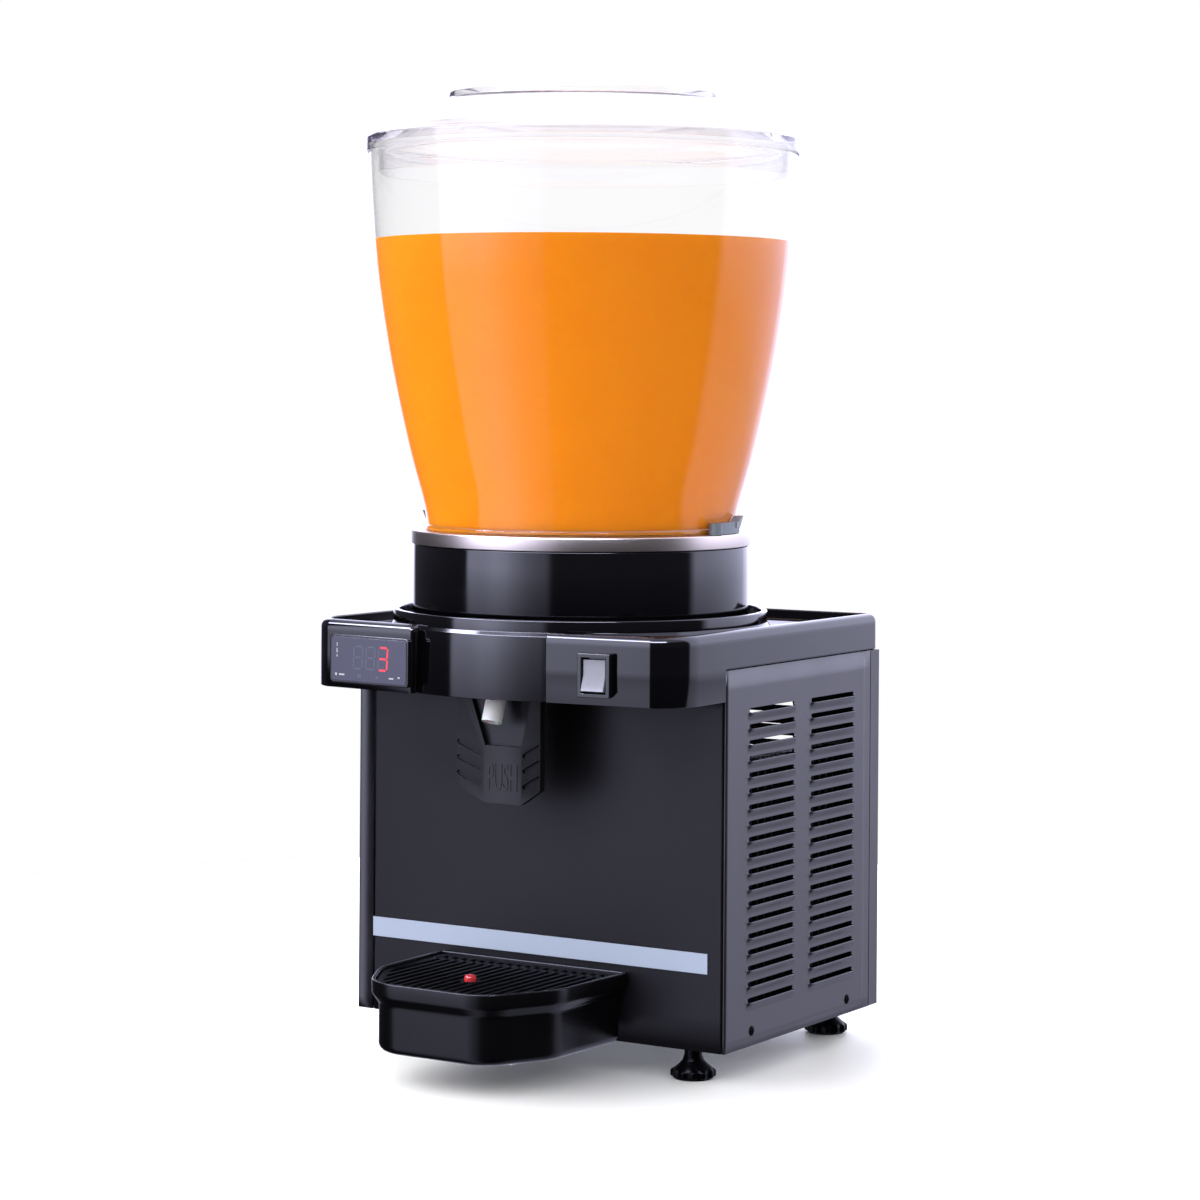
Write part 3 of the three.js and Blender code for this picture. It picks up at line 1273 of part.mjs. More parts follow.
// Return spring wound round the pin. Its lower leg bears on the lever's back and its rear leg on
// the bracket's plate.
function leverSpring() {
  const radius = cornerOf(pinRadius + fit * 2 + springWire, tinySides);
  const half = (springTurns * springPitch) / 2;
  const steps = springTurns * tinySides + tinySides / 4;
  const coil = Array.from({ length: steps + 1 }, (_, i) => {
    const angle = Math.PI - (i * 2 * Math.PI) / tinySides;
    return [-half + (half * 2 * i) / steps, radius * Math.cos(angle), radius * Math.sin(angle)];
  });
  const lowerLeg = leverFaceY + leverThickness + fit * 2 + springWire - leverPivotY;
  const rearLeg = -fit - bracketPlate - fit - springWire - leverPivotY;
  const points = [[-half, lowerLeg, -springLeg], [-half, lowerLeg, -springLeg / 2], ...coil,
    [half, rearLeg / 2, radius], [half, rearLeg, radius]];
  const mesh = piece('lever_spring', tube(through(points), springWire, points.length, 5),
    brightSteel);
  mesh.position.set(0, leverPivotY, leverPivotZ);
  return mesh;
}

// Tray outline, as arcs from the right side round the rear and the left side to the front
function trayArcs() {
  const turn = rad(trayTurn);
  const sideX = trayHalfWidth - traySideRadius;
  const apart = traySideRadius - trayCornerRadius;
  const cornerX = sideX + apart * Math.cos(turn);
  const cornerY = -traySide - apart * Math.sin(turn);
  const right = [
    { x: cornerX, y: cornerY, radius: trayCornerRadius, from: -90, to: -trayTurn,
      steps: cornerSteps + 1 },
    { x: sideX, y: -traySide, radius: traySideRadius, from: -trayTurn, to: 0,
      steps: cornerSteps / 2 },
    { x: trayHalfWidth - trayRearRadius, y: -trayRearGap - trayRearRadius, radius: trayRearRadius,
      from: 0, to: 90, steps: cornerSteps / 2 },
  ];
  const left = right.map((arc) => ({
    ...arc, x: -arc.x, from: halfTurn - arc.to, to: halfTurn - arc.from,
  })).reverse();
  return [...right, ...left];
}

const trayRing = (inset, z) => arcRing(trayArcs(), inset, z);
const trayFront = -traySide - (traySideRadius - trayCornerRadius) * Math.sin(rad(trayTurn))
  - trayCornerRadius;
const seatZ = trayHeight - traySeat;

// Inset and height of the tray's skin, from the middle of its underside over the rim to the inside
function trayProfile() {
  const inner = trayStep + trayWall;
  const band = trayHeight - traySeat - trayRimWidth;
  return [
    [trayStep + trayFloorRound, 0], [trayStep + trayFloorRound / 3, trayFloorRound / 6],
    [trayStep, trayFloorRound], [trayStep, band - trayFloorRound],
    [trayRimWidth / 2, band - trayRimWidth], [0, band], [0, trayHeight - trayRimWidth / 3],
    [trayRimWidth / 3, trayHeight], [trayRimWidth - trayRimWidth / 6, trayHeight],
    [trayRimWidth, trayHeight - trayRimWidth / 6], [trayRimWidth, seatZ], [inner, seatZ],
    [inner, trayFloorRound], [inner + trayFloorRound / 3, trayFloorRound / 6 + trayWall],
    [inner + trayFloorRound, trayWall],
  ];
}

function dripTray() {
  return piece('drip_tray', loft(trayProfile().map(([inset, z]) => trayRing(inset, z))),
    blackGloss);
}

function dripGrate() {
  const low = seatZ + fit;
  const high = low + grateThickness;
  const inset = trayRimWidth + fit;
  const plate = loft([trayRing(inset, low), trayRing(inset, high)]);
  const field = loft([trayRing(inset + grateFrame, low - overrun),
    trayRing(inset + grateFrame, high + overrun)]);
  const rear = -trayRearGap - inset - grateFrame;
  const cross = rear - grateRearSlot;
  const slots = Array.from({ length: grateBars - 1 }, (_, i) => {
    const x = (i - (grateBars - 2) / 2) * gratePitch;
    return [[cross, rear], [trayFront, cross - grateCrossBar]].map(([from, to]) => box(
      x - grateSlot / 2, x + grateSlot / 2, from, to, low - overrun, high + overrun));
  }).flat();
  const ring = rod('z', floatStemRadius + fit + floatRingWall, 0, floatY, low, high);
  const hole = rod('z', floatStemRadius + fit * 2, 0, floatY, low - overrun, high + overrun);
  const open = common(join(...slots), field);
  return piece('drip_grate', cut(join(cut(plate, open), ring), hole), blackMatt);
}

// Overflow float: it lies near the tray's floor and its tip rises through the grate
function levelFloat() {
  const low = trayWall + floatGap;
  const tip = trayHeight;
  return piece('level_float', revolve([
    [0, low], [floatRadius - fit, low], [floatRadius, low + fit], [floatRadius, low + floatBody],
    [floatStemRadius, low + floatBody + floatStemRadius], [floatStemRadius, tip - floatStemRadius],
    [floatStemRadius / 2, tip - fit], [0, tip],
  ], smallSides, 0, floatY), redPlastic);
}

// Two steel arms under the pan and the tray, tied by a bar
function trayBracket() {
  const [low, high] = [-fit - trayArmThickness, -fit];
  const arms = [-armHalfSpan, armHalfSpan].map((x) => box(x - trayArmWidth / 2,
    x + trayArmWidth / 2, -trayArmReach, trayArmTail, low, high));
  const tie = box(-armHalfSpan, armHalfSpan, trayArmTail - trayArmWidth, trayArmTail, low, high);
  return piece('tray_bracket', join(...arms, tie), zincSteel);
}

// Compressor shell, seam, feet on two rails
function compressor() {
  const floor = sheet + fit;
  const ellipse = (share, z) => Array.from({ length: tinySides * 2 }, (_, i) => {
    const angle = (i * Math.PI) / tinySides;
    return new THREE.Vector3(compressorX + compressorHalfX * share * Math.cos(angle),
      compressorY + compressorHalfY * share * Math.sin(angle), z);
  });
  const levels = compressorShares.map(([rise, share]) => ellipse(
    share, floor + compressorLift + rise * compressorHeight));
  const shell = loft(levels);
  const seamZ = floor + compressorLift + compressorHeight / 2;
  const seamShare = (compressorHalfX + compressorSeam) / compressorHalfX;
  const flange = loft([ellipse(seamShare, seamZ), ellipse(seamShare, seamZ + compressorSeam)]);
  const rails = [-1, 1].map((end) => {
    const y = compressorY + end * (compressorHalfY - compressorRailWidth);
    return box(compressorX - compressorHalfX, compressorX + compressorHalfX,
      y - compressorRailWidth / 2, y + compressorRailWidth / 2,
      floor + compressorLift - compressorRail, floor + compressorLift + compressorRail);
  });
  const feet = [-1, 1].flatMap((end) => [-1, 1].map((side) => rod('z', compressorFootRadius,
    compressorX + side * (compressorHalfX - compressorFootRadius),
    compressorY + end * (compressorHalfY - compressorRailWidth), floor,
    floor + compressorLift, 6)));
  return piece('compressor', join(shell, flange, ...rails, ...feet), blackMatt);
}

// Condenser: a comb of fins on both faces of a solid tube core
function condenser() {
  const floor = sheet + fit;
  const pitch = (condenserRear - condenserFront) / condenserFins;
  const core = ((condenserOuterX - condenserInnerX) * finCoreShare) / 2;
  const middle = (condenserOuterX + condenserInnerX) / 2;
  const comb = [];
  for (let i = 0; i < condenserFins; i += 1) {
    const start = condenserFront + i * pitch;
    comb.push([condenserOuterX, start], [condenserOuterX, start + pitch * finShare],
      [middle + core, start + pitch * finShare], [middle + core, start + pitch]);
  }
  const end = condenserFront + condenserFins * pitch;
  comb.push([condenserOuterX, end], [condenserOuterX, end + pitch * finShare]);
  const mirrored = comb.map(([x, y]) => [middle * 2 - x, y]).reverse();
  return piece('condenser', prism('z', [...comb, ...mirrored], floor, condenserTop), aluminium);
}

function fanShroud() {
  const floor = sheet + fit;
  const face = box(shroudX, shroudX + sheet, condenserFront, condenserRear, floor, condenserTop);
  const sides = [condenserFront, condenserRear - sheet].map((y) => box(shroudX,
    condenserInnerX - fit, y, y + sheet, floor, condenserTop));
  const ring = rod('x', shroudRadius + sheet, fanY, fanZ, shroudX - shroudDepth, shroudX + sheet,
    hiddenSides);
  const hole = rod('x', shroudRadius, fanY, fanZ, shroudX - shroudDepth - overrun,
    shroudX + sheet + overrun, hiddenSides);
  return piece('fan_shroud', cut(join(face, ...sides, ring), hole), zincSteel);
}

const fanMotorFront = fanX - fit * 2;
const fanBracketX = fanMotorFront - fanMotorLength - fit - sheet;

function fanMotor() {
  return piece('fan_motor', join(
    rod('x', fanMotorRadius, fanY, fanZ, fanMotorFront - fanMotorLength, fanMotorFront,
      hiddenSides),
    rod('x', fanShaftRadius, fanY, fanZ, fanMotorFront - sheet, fanX + fanHubLength - fit * 2,
      smallSides)), zincSteel);
}

function fanBracket() {
  const floor = sheet + fit;
  const profile = [
    [fanBracketX, floor], [fanBracketX + fanBracketFoot, floor],
    [fanBracketX + fanBracketFoot, floor + sheet], [fanBracketX + sheet, floor + sheet],
    [fanBracketX + sheet, fanZ + fanMotorRadius], [fanBracketX, fanZ + fanMotorRadius],
  ];
  return piece('fan_bracket', prism('y', profile, fanY - fanBracketHalfWidth,
    fanY + fanBracketHalfWidth), zincSteel);
}

// Fan: a hub and blades that are pitched along the axis
function fanWheel() {
  const hub = cut(
    rod('x', fanHubRadius, fanY, fanZ, fanX, fanX + fanHubLength, hiddenSides),
    rod('x', boreFor(fanShaftRadius, smallSides), fanY, fanZ, fanX - overrun,
      fanX + fanHubLength - fit));
  const blades = Array.from({ length: fanBlades }, (_, i) => {
    const start = (i * 2 * Math.PI) / fanBlades;
    const section = (radius, x) => [0, 1 / 2, 1].map((share) => {
      const angle = start + rad(fanBladeSpan) * (share - 1 / 2);
      return new THREE.Vector3(x + share * fanBladeTwist, fanY + radius * Math.cos(angle),
        fanZ + radius * Math.sin(angle));
    });
    const at = (radius) => [...section(radius, fanX + fit),
      ...section(radius, fanX + fit + fanBladeThickness).reverse()];
    return bladeBody(at(fanHubRadius - fanBladeThickness), at(fanRadius));
  });
  return piece('fan_blades', join(hub, ...blades), blackMatt);
}

// Body between two equal rings of points that don't lie in a level plane
function bladeBody(low, high) {
  const count = low.length;
  const triangles = [];
  for (let i = 0; i < count; i += 1) {
    const next = (i + 1) % count;
    triangles.push(low[i], low[next], high[next], low[i], high[next], high[i]);
  }
  const half = count / 2;
  for (let i = 0; i + 1 < half; i += 1) {
    const [a, b, c, d] = [i, i + 1, count - 2 - i, count - 1 - i];
    triangles.push(low[a], low[c], low[b], low[a], low[d], low[c]);
    triangles.push(high[a], high[b], high[c], high[a], high[c], high[d]);
  }
  return toSolid(new THREE.BufferGeometry().setFromPoints(triangles));
}

const compressorTop = sheet + fit + compressorLift + compressorHeight;

// Discharge pipe from the compressor's dome over to the condenser's top
function dischargePipe() {
  const rise = compressorTop + fit;
  const condenserMiddle = (condenserInnerX + condenserOuterX) / 2;
  const over = condenserTop + pipeRadius * 4;
  return piece('discharge_pipe', tube(through([
    [compressorX, compressorY, rise], [compressorX, compressorY, rise + pipeRadius * 6],
    [compressorX + compressorHalfX, compressorY, over],
    [condenserMiddle - pipeRadius * 6, condenserRear - pipeRadius * 8, over],
    [condenserMiddle, condenserRear - pipeRadius * 8, over],
    [condenserMiddle, condenserRear - pipeRadius * 8, condenserTop + fit],
  ]), pipeRadius, cornerSteps * 4, coilTubeSides), copper);
}

// Suction pipe from under the coil, through the foam and the hood, to the compressor's rear
function suctionPipe() {
  const down = seatLevel - pipeHoleRadius * 4;
  const end = compressorY + compressorHalfY * compressorShares.at(-1)[1] - pipeRadius * 2;
  return piece('suction_pipe', tube(through([
    [0, pipeHoleY, basinFloor + coilRise - coilTubeRadius - fit * 2], [0, pipeHoleY, seatLevel],
    [0, pipeHoleY, down], [compressorX / 2, pipeHoleY, compressorTop + pipeRadius * 10],
    [compressorX, end, compressorTop + pipeRadius * 7],
    [compressorX, end, compressorTop + fit],
  ]), pipeRadius, cornerSteps * 4, coilTubeSides), copper);
}

const front = trayFront;
const rear = cabinetDepth;
const dispenser = new THREE.Group();
dispenser.position.set(0, -(front + rear) / 2, footHeight);

const onBowlAxis = new THREE.Group();
onBowlAxis.position.set(0, bowlAxisY, 0);
onBowlAxis.add(collar(), basin(), evaporatorCoil(), insulation(), bowlGasket(), bowl(), lid(),
  latch('latch_right', 0), latch('latch_left', Math.PI), impeller(), driveMagnet(), mixerMotor());

dispenser.add(basePan(), frontPanel(), leftSidePanel(), rightSidePanel(), rearPanel(),
  cordGland(), ...sideScrews(), trimStrip(), ...footPlaces.map((place) => foot(...place)),
  hood(), hoodUnderplate(), controller(), rockerSwitch(), drinkTube(), tapBracket(), leverPin(),
  pushLever(), leverSpring(), dripTray(), dripGrate(), levelFloat(), trayBracket(),
  compressor(), condenser(), fanShroud(), fanMotor(), fanBracket(), fanWheel(),
  dischargePipe(), suctionPipe(), onBowlAxis);

export default dispenser;
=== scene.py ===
# %% [markdown]
# # A cold drink dispenser, dressed for its picture
#
# The CAD model fixes the dispenser's sizes and moving bodies. This script loads it and gives it its
# looks: skins with the real forms, a drink in the bowl, a finish for each piece. Every shape is a
# grid of numbers from numpy, so its formula can be read and changed.

# %% Load the frame
import json
import bmesh
import bpy
import numpy as np
from mathutils import Matrix, Vector


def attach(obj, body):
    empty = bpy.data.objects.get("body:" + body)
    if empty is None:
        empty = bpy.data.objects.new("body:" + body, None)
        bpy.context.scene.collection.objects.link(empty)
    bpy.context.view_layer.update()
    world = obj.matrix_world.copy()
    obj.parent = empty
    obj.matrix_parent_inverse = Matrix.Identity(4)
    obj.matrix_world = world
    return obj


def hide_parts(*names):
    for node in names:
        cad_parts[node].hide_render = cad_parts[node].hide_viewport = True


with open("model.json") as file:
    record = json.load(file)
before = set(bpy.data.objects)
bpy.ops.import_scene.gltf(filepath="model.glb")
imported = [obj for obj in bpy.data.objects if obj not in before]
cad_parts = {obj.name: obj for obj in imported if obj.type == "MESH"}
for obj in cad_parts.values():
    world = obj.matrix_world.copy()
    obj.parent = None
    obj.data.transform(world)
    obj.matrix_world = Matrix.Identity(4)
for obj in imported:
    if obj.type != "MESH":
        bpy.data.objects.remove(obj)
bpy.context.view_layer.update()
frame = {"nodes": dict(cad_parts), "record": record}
scene = bpy.context.scene

# %% [markdown]
# ## Camera
#
# The camera stands where the photograph was taken from. It looks level with its lens shifted down,
# because a camera tilted down would make the upright edges lean together. Its numbers were solved
# from the machine's edges.

# %% Camera
ROLL = 0.007  # radians that the camera leans
camera = bpy.data.objects.new("camera", bpy.data.cameras.new("camera"))
scene.collection.objects.link(camera)
camera.data.sensor_width = 36
camera.data.lens = 99.147
camera.data.shift_y = -0.1866
aside, up, behind = np.array([[0.8471, 0.5314, 0], [0, 0, 1], [0.5314, -0.8471, 0]])
stand = np.eye(4)
stand[:3, 0] = np.cos(ROLL) * aside + np.sin(ROLL) * up
stand[:3, 1] = np.cos(ROLL) * up - np.sin(ROLL) * aside
stand[:3, 2:] = np.stack([behind, [1.3229, -2.0725, 0.5017]], axis=1)
camera.matrix_world = Matrix(stand.tolist())
scene.camera = camera
print("camera looks along", (-behind).tolist())

# %% [markdown]
# ## Shader nodes
#
# Every finish is a small tree of shader nodes. They could be wired by hand; here a helper adds a
# node, sets its sockets and links whatever is itself an output, so that a finish reads as a list of
# what feeds what.

# %% Helpers for every node tree
def add(tree, kind, sockets=None, **settings):
    """New node; each socket gets a number, a colour or another node's output."""
    made = tree.nodes.new("ShaderNode" + kind)
    for key, value in settings.items():
        setattr(made, key, value)
    for socket, value in (sockets or {}).items():
        if isinstance(value, bpy.types.NodeSocket):
            tree.links.new(value, made.inputs[socket])
        else:
            made.inputs[socket].default_value = value
    return made


def calc(tree, operation, *values):
    """Output of a Math node."""
    return add(tree, "Math", dict(enumerate(values)), operation=operation).outputs[0]


def mixed(tree, factor, a, b, **settings):
    """Colour (1 - factor) a + factor b, or a blended with b in another way."""
    return add(tree, "Mix", {"Factor": factor, "A": a, "B": b}, data_type="RGBA",
               **settings).outputs["Result"]


def ranged(tree, value, to_min, to_max, low=0.0, high=1.0):
    """Value carried in proportion from low ... high to to_min ... to_max."""
    return add(tree, "MapRange", {
        "Value": value, "From Min": low, "From Max": high, "To Min": to_min,
        "To Max": to_max}).outputs[0]


# %% [markdown]
# ## Directions round the studio
#
# Black gloss shows only what stands round it. Lamps could build that studio, but each would also
# light the floor and the matt parts. So the world shader holds the room: its brightness is a
# function of a ray's compass direction and of its height, each a ramp through measured stops.

# %% Directions and ramps
scene.world = bpy.data.worlds.new("studio")
scene.world.use_nodes = True
sky = scene.world.node_tree
sky.nodes.clear()
way = add(sky, "SeparateXYZ", {0: add(sky, "TexCoord").outputs["Generated"]})
compass = calc(sky, "ARCTAN2", way.outputs["X"], calc(sky, "MULTIPLY", way.outputs["Y"], -1.0))
turn_share = calc(sky, "MULTIPLY_ADD", compass, 0.5 / np.pi, 0.5)
rise_share = calc(sky, "MULTIPLY_ADD", way.outputs["Z"], 0.5, 0.5)


def ramp(share, span, stops):
    """Brightness through stops of (value, level), where the share is 0.5 + value / span."""
    made = add(sky, "ValToRGB", {0: share})
    first, last = made.color_ramp.elements
    first.color = (*[stops[0][1]] * 3, 1)
    last.color = (*[stops[-1][1]] * 3, 1)
    for value, bright in stops[1:-1]:
        made.color_ramp.elements.new(0.5 + value / span).color = (bright, bright, bright, 1)
    return made.outputs["Color"]


def by_turn(*stops):
    """Ramp over degrees from the machine's front; 90 is at its right."""
    return ramp(turn_share, 360, stops)


def by_rise(*stops):
    """Ramp over a direction's height, from -1 straight down to 1 straight up."""
    return ramp(rise_share, 2, stops)


def times(a, b):
    """Product in the sky's tree."""
    return calc(sky, "MULTIPLY", a, b)


print("studio directions:", len(sky.nodes), "nodes")

# %% [markdown]
# ## What gloss reflects
#
# The collar shows a pale band left of its middle and one at its right edge: two tall soft boxes
# with darkness between them. A strip light high in front draws the line along the hood's rim, and a
# dim ceiling greys the tops. The brightest wins; all of it is slightly lilac.

# %% Soft boxes, ceiling and strip light
STRIP_LEVEL, CEILING_LEVEL, ROOM_LEVEL = 6.0, 0.27, 5.1
LILAC, WHITE = (0.92, 0.93, 1.25, 1), (1, 1, 1, 1)
boxes = by_turn((-180, 0.5), (-150, 0.58), (-132, 0.5), (-124, 0.02), (-52, 0.02), (-50, 0.7),
                (-37, 0.76), (-28, 0.91), (-20, 0.84), (-14, 0.64), (-4, 0.38), (5, 0.26),
                (9, 0.25), (13, 0.02), (111, 0.02), (117, 0.55), (150, 0.5), (180, 0.4))
box_rise = by_rise((-1, 0.23), (-0.42, 0.36), (-0.2, 0.3), (-0.05, 0.667), (0.03, 1), (1, 1))
ceiling = ranged(sky, way.outputs["Z"], 0.0, CEILING_LEVEL, low=0.5, high=0.75)
strip_turn = by_turn((-180, 0), (-75, 0), (-70, 1), (55, 1), (60, 0), (180, 0))
strip_rise = by_rise((-1, 0), (0.57, 0), (0.59, 1), (0.73, 1), (0.75, 0), (1, 0))
strip = times(times(strip_turn, strip_rise), STRIP_LEVEL)
room = calc(sky, "MAXIMUM", times(boxes, box_rise), ceiling)
room = times(calc(sky, "MAXIMUM", room, strip), ROOM_LEVEL)
lilac_room = mixed(sky, 1.0, LILAC, room, blend_type="MULTIPLY")
print("soft boxes, ceiling and strip light:", len(sky.nodes), "nodes")

# %% [markdown]
# ## What each kind of ray meets
#
# A photographer hides the lamps from the lens; a world shader does it by the kind of ray. Rays from
# matt surfaces meet an even glow, strongest from the left. Rays through clear plastic meet a
# backdrop that greys towards floor and ceiling and so draws its edges. Mirror rays meet the soft
# boxes, unless they start behind a clear skin. All others meet white.

# %% World by kind of ray
GLOW_LEVEL = 7.25
glow_turn = by_turn((-180, 0.36), (-120, 0.95), (-70, 1), (0, 0.46), (40, 0.24), (120, 0.29),
                    (180, 0.36))
glow_rise = by_rise((-1, 0.065), (-0.1, 0.065), (0.2, 1), (0.5, 1), (0.8, 0.4), (1, 0.25))
glow = times(times(glow_turn, glow_rise), GLOW_LEVEL)
backdrop = by_rise((-1, 0.5), (-0.55, 0.6), (-0.3, 1), (0.35, 1), (0.6, 0.6), (1, 0.5))
path = add(sky, "LightPath").outputs
from_matt = calc(sky, "GREATER_THAN", path["Diffuse Depth"], 0.5)
before_clear = calc(sky, "LESS_THAN", path["Transmission Depth"], 0.5)
seen = mixed(sky, times(path["Is Glossy Ray"], before_clear), WHITE, lilac_room)
seen = mixed(sky, path["Is Transmission Ray"], seen, backdrop)
seen = mixed(sky, from_matt, seen, glow)
add(sky, "OutputWorld", {"Surface": add(sky, "Background", {"Color": seen}).outputs[0]})
scene.view_settings.view_transform = "Standard"
print("studio nodes:", len(sky.nodes))

# %% [markdown]
# ## Mesh helpers
#
# Sizes are millimetres from the middle of the cabinet's front edge at its foot; one function moves
# them to the frame's metres. A surface is a grid of points, and a piece is a few of them welded
# into one mesh. Most pieces stand in for a CAD node and ride on its body.

# %% Places, surfaces and pieces
FRONT_SHIFT = 47.8018  # the frame's origin stands this far behind the cabinet's front
FOOT_HEIGHT = 23.0
BOWL_AXIS = 58.9  # of the bowl, behind the cabinet's front
MICRON = 1e-6
body_of = {node: body for body, nodes in frame["record"]["behaviour"]["bodies"].items()
           for node in nodes}


def place(x, y, z):
    """Points in the frame: x, y - shift and z + foot height, each over 1000."""
    x, y, z = np.broadcast_arrays(x, y, z)
    return np.stack([x, y - FRONT_SHIFT, z + FOOT_HEIGHT], axis=-1) / 1000


def surface(grid, round_rows=False, round_columns=False):
    """Four-sided faces between a grid's points; a round direction joins its ends."""
    rows, columns = grid.shape[:2]
    index = np.arange(rows * columns).reshape(rows, columns)
    if round_rows:
        index = np.concatenate([index, index[:1]])
    if round_columns:
        index = np.concatenate([index, index[:, :1]], axis=1)
    faces = np.stack([index[:-1, :-1], index[:-1, 1:], index[1:, 1:], index[1:, :-1]], axis=-1)
    return grid.reshape(-1, 3), faces.reshape(-1, 4)


def weld(name, surfaces):
    """One mesh: points nearer than a micron become one, and closed shells face outwards."""
    starts = np.cumsum([0, *[len(points) for points, _ in surfaces]])
    mesh = bpy.data.meshes.new(name)
    mesh.from_pydata(np.concatenate([points for points, _ in surfaces]), [],
                     np.concatenate([faces + start for (_, faces), start in zip(surfaces, starts)]))
    work = bmesh.new()
    work.from_mesh(mesh)
    bmesh.ops.remove_doubles(work, verts=work.verts, dist=MICRON)
    bmesh.ops.recalc_face_normals(work, faces=work.faces)
    work.to_mesh(mesh)
    work.free()
    return mesh


def finished(name, mesh, body, look, node=None, slot=None, sharp=32):
    """Puts the mesh on its body, smooth but for edges sharper than the angle, in the place of a CAD
    node, whose part it hides. The slot argument is not used."""
    made = bpy.data.objects.new(name, mesh)
    scene.collection.objects.link(made)
    mesh.shade_smooth()
    mesh.set_sharp_from_angle(angle=np.radians(sharp))
    mesh.materials.clear()
    mesh.materials.append(look)
    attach(made, body)
    if node:
        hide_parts(node)
    print(f"{name}: {len(mesh.vertices)} points, {len(mesh.polygons)} faces")
    return made


def skin(node, surfaces, look, **options):
    """Closed shells welded into the piece that stands in for a CAD node."""
    return finished(f"{node}_skin", weld(node, surfaces), body_of[node], look, node, **options)


# %% [markdown]
# ## Round forms and rounded corners
#
# Most of this machine is turned, spun or moulded round an upright axis. The Screw modifier could do
# that, but in a grid the radius can change on the way round. A small arc in each corner of a
# profile catches the thin highlights of a real edge.

# %% Profiles
def arcs(corners, radii, steps=5):
    """Each corner becomes an arc, its centre on the bisector at radius / sin(half the angle)."""
    corner = np.asarray(corners, float)
    radius = np.broadcast_to(np.asarray(radii, float), len(corner))
    back, on = np.roll(corner, 1, axis=0) - corner, np.roll(corner, -1, axis=0) - corner
    back /= np.linalg.norm(back, axis=1, keepdims=True)
    on /= np.linalg.norm(on, axis=1, keepdims=True)
    half = np.arccos(np.clip((back * on).sum(axis=1), -1, 1)) / 2
    middle = back + on
    middle /= np.maximum(np.linalg.norm(middle, axis=1, keepdims=True), 1e-9)
    centre = corner + middle * (radius / np.sin(half))[:, None]
    reach = (radius / np.tan(half))[:, None]
    first, last = corner + back * reach - centre, corner + on * reach - centre
    start, end = np.arctan2(first[:, 1], first[:, 0]), np.arctan2(last[:, 1], last[:, 0])
    sweep = (end - start + np.pi) % (2 * np.pi) - np.pi
    angle = start[:, None] + sweep[:, None] * np.linspace(0, 1, steps)
    arc = np.stack([np.cos(angle), np.sin(angle)], axis=-1) * radius[:, None, None]
    return (centre[:, None] + arc).reshape(-1, 2)


def curve(points, steps):
    """Cubics through points: the slope at each is half the step between its neighbours."""
    p = np.asarray(points, float)
    p = np.concatenate([2 * p[:1] - p[1:2], p, 2 * p[-1:] - p[-2:-1]])
    a, b, c, d = p[:-3, None], p[1:-2, None], p[2:-1, None], p[3:, None]
    t = np.linspace(0, 1, steps, endpoint=False)[None, :, None]
    between = b + t * (c - a) / 2 + t**2 * (a - 2.5 * b + 2 * c - d / 2) \
        + t**3 * ((d - a) / 2 + 1.5 * (b - c))
    return np.concatenate([between.reshape(-1, p.shape[1]), p[-2:-1]])


def around(sides):
    """Angles of that many equal steps round a full turn."""
    return np.linspace(0, 2 * np.pi, sides, endpoint=False)


def turned(profile, sides=160, x=0.0, y=BOWL_AXIS, closed=True, change=None):
    """Profile of (radius, height) carried round the upright axis at (x, y). A change may work out
    other radii and heights from them and the angle."""
    angle = around(sides)
    radius, height = np.asarray(profile, float).T[:, :, None]
    if change:
        radius, height = change(radius, height, angle)
    return surface(place(x + radius * np.cos(angle), y + radius * np.sin(angle), height),
                   round_rows=closed, round_columns=True)


# %% [markdown]
# ## Softened copies
#
# A small CAD piece often has the right shape but knife edges. So a copy of its mesh is merged, its
# flat faces are put together, and a live Bevel modifier rounds its edges by a few tenths of a
# millimetre.

# %% Copies with rounded edges
def softened(node, look, width, segments=2):
    """Merged copy of a CAD node's mesh with a live bevel of that width in millimetres."""
    work = bmesh.new()
    work.from_mesh(frame["nodes"][node].data)
    bmesh.ops.remove_doubles(work, verts=work.verts, dist=MICRON)
    bmesh.ops.dissolve_limit(work, angle_limit=0.01, verts=work.verts, edges=work.edges)
    points = [vertex.co[:] for vertex in work.verts]
    work.verts.index_update()
    faces = [[vertex.index for vertex in face.verts] for face in work.faces]
    work.free()
    mesh = bpy.data.meshes.new(node)
    mesh.from_pydata(points, [], faces)
    made = finished(f"{node}_skin", mesh, body_of[node], look, node)
    edge = made.modifiers.new("edge", "BEVEL")
    edge.width, edge.segments = width / 1000, segments
    edge.limit_method, edge.angle_limit = "ANGLE", np.radians(28)
    edge.harden_normals = True
    return made

# %% [markdown]
# ## Finishes
#
# Most finishes are a base colour, a slow drift towards a second one, a roughness that wanders a
# little, and a fine relief. The pattern is read in object coordinates, so it keeps its real scale;
# an image would need unwrapping and would stretch where the mesh does.

# %% Plain finish
def new_look(name):
    """Material, its emptied tree, and the object coordinates."""
    look = bpy.data.materials.new(name)
    look.use_nodes = True
    look.node_tree.nodes.clear()
    return look, look.node_tree, add(look.node_tree, "TexCoord").outputs["Object"]


def noise(tree, spot, scale, detail):
    """Soft random value that changes over 1 / scale metres."""
    return add(tree, "TexNoise",
               {"Vector": spot, "Scale": scale, "Detail": detail}).outputs[0]


def relief_of(tree, height, depth):
    """Normal of a surface raised by height x depth metres."""
    return add(tree, "Bump", {"Height": height, "Distance": depth}).outputs[0]


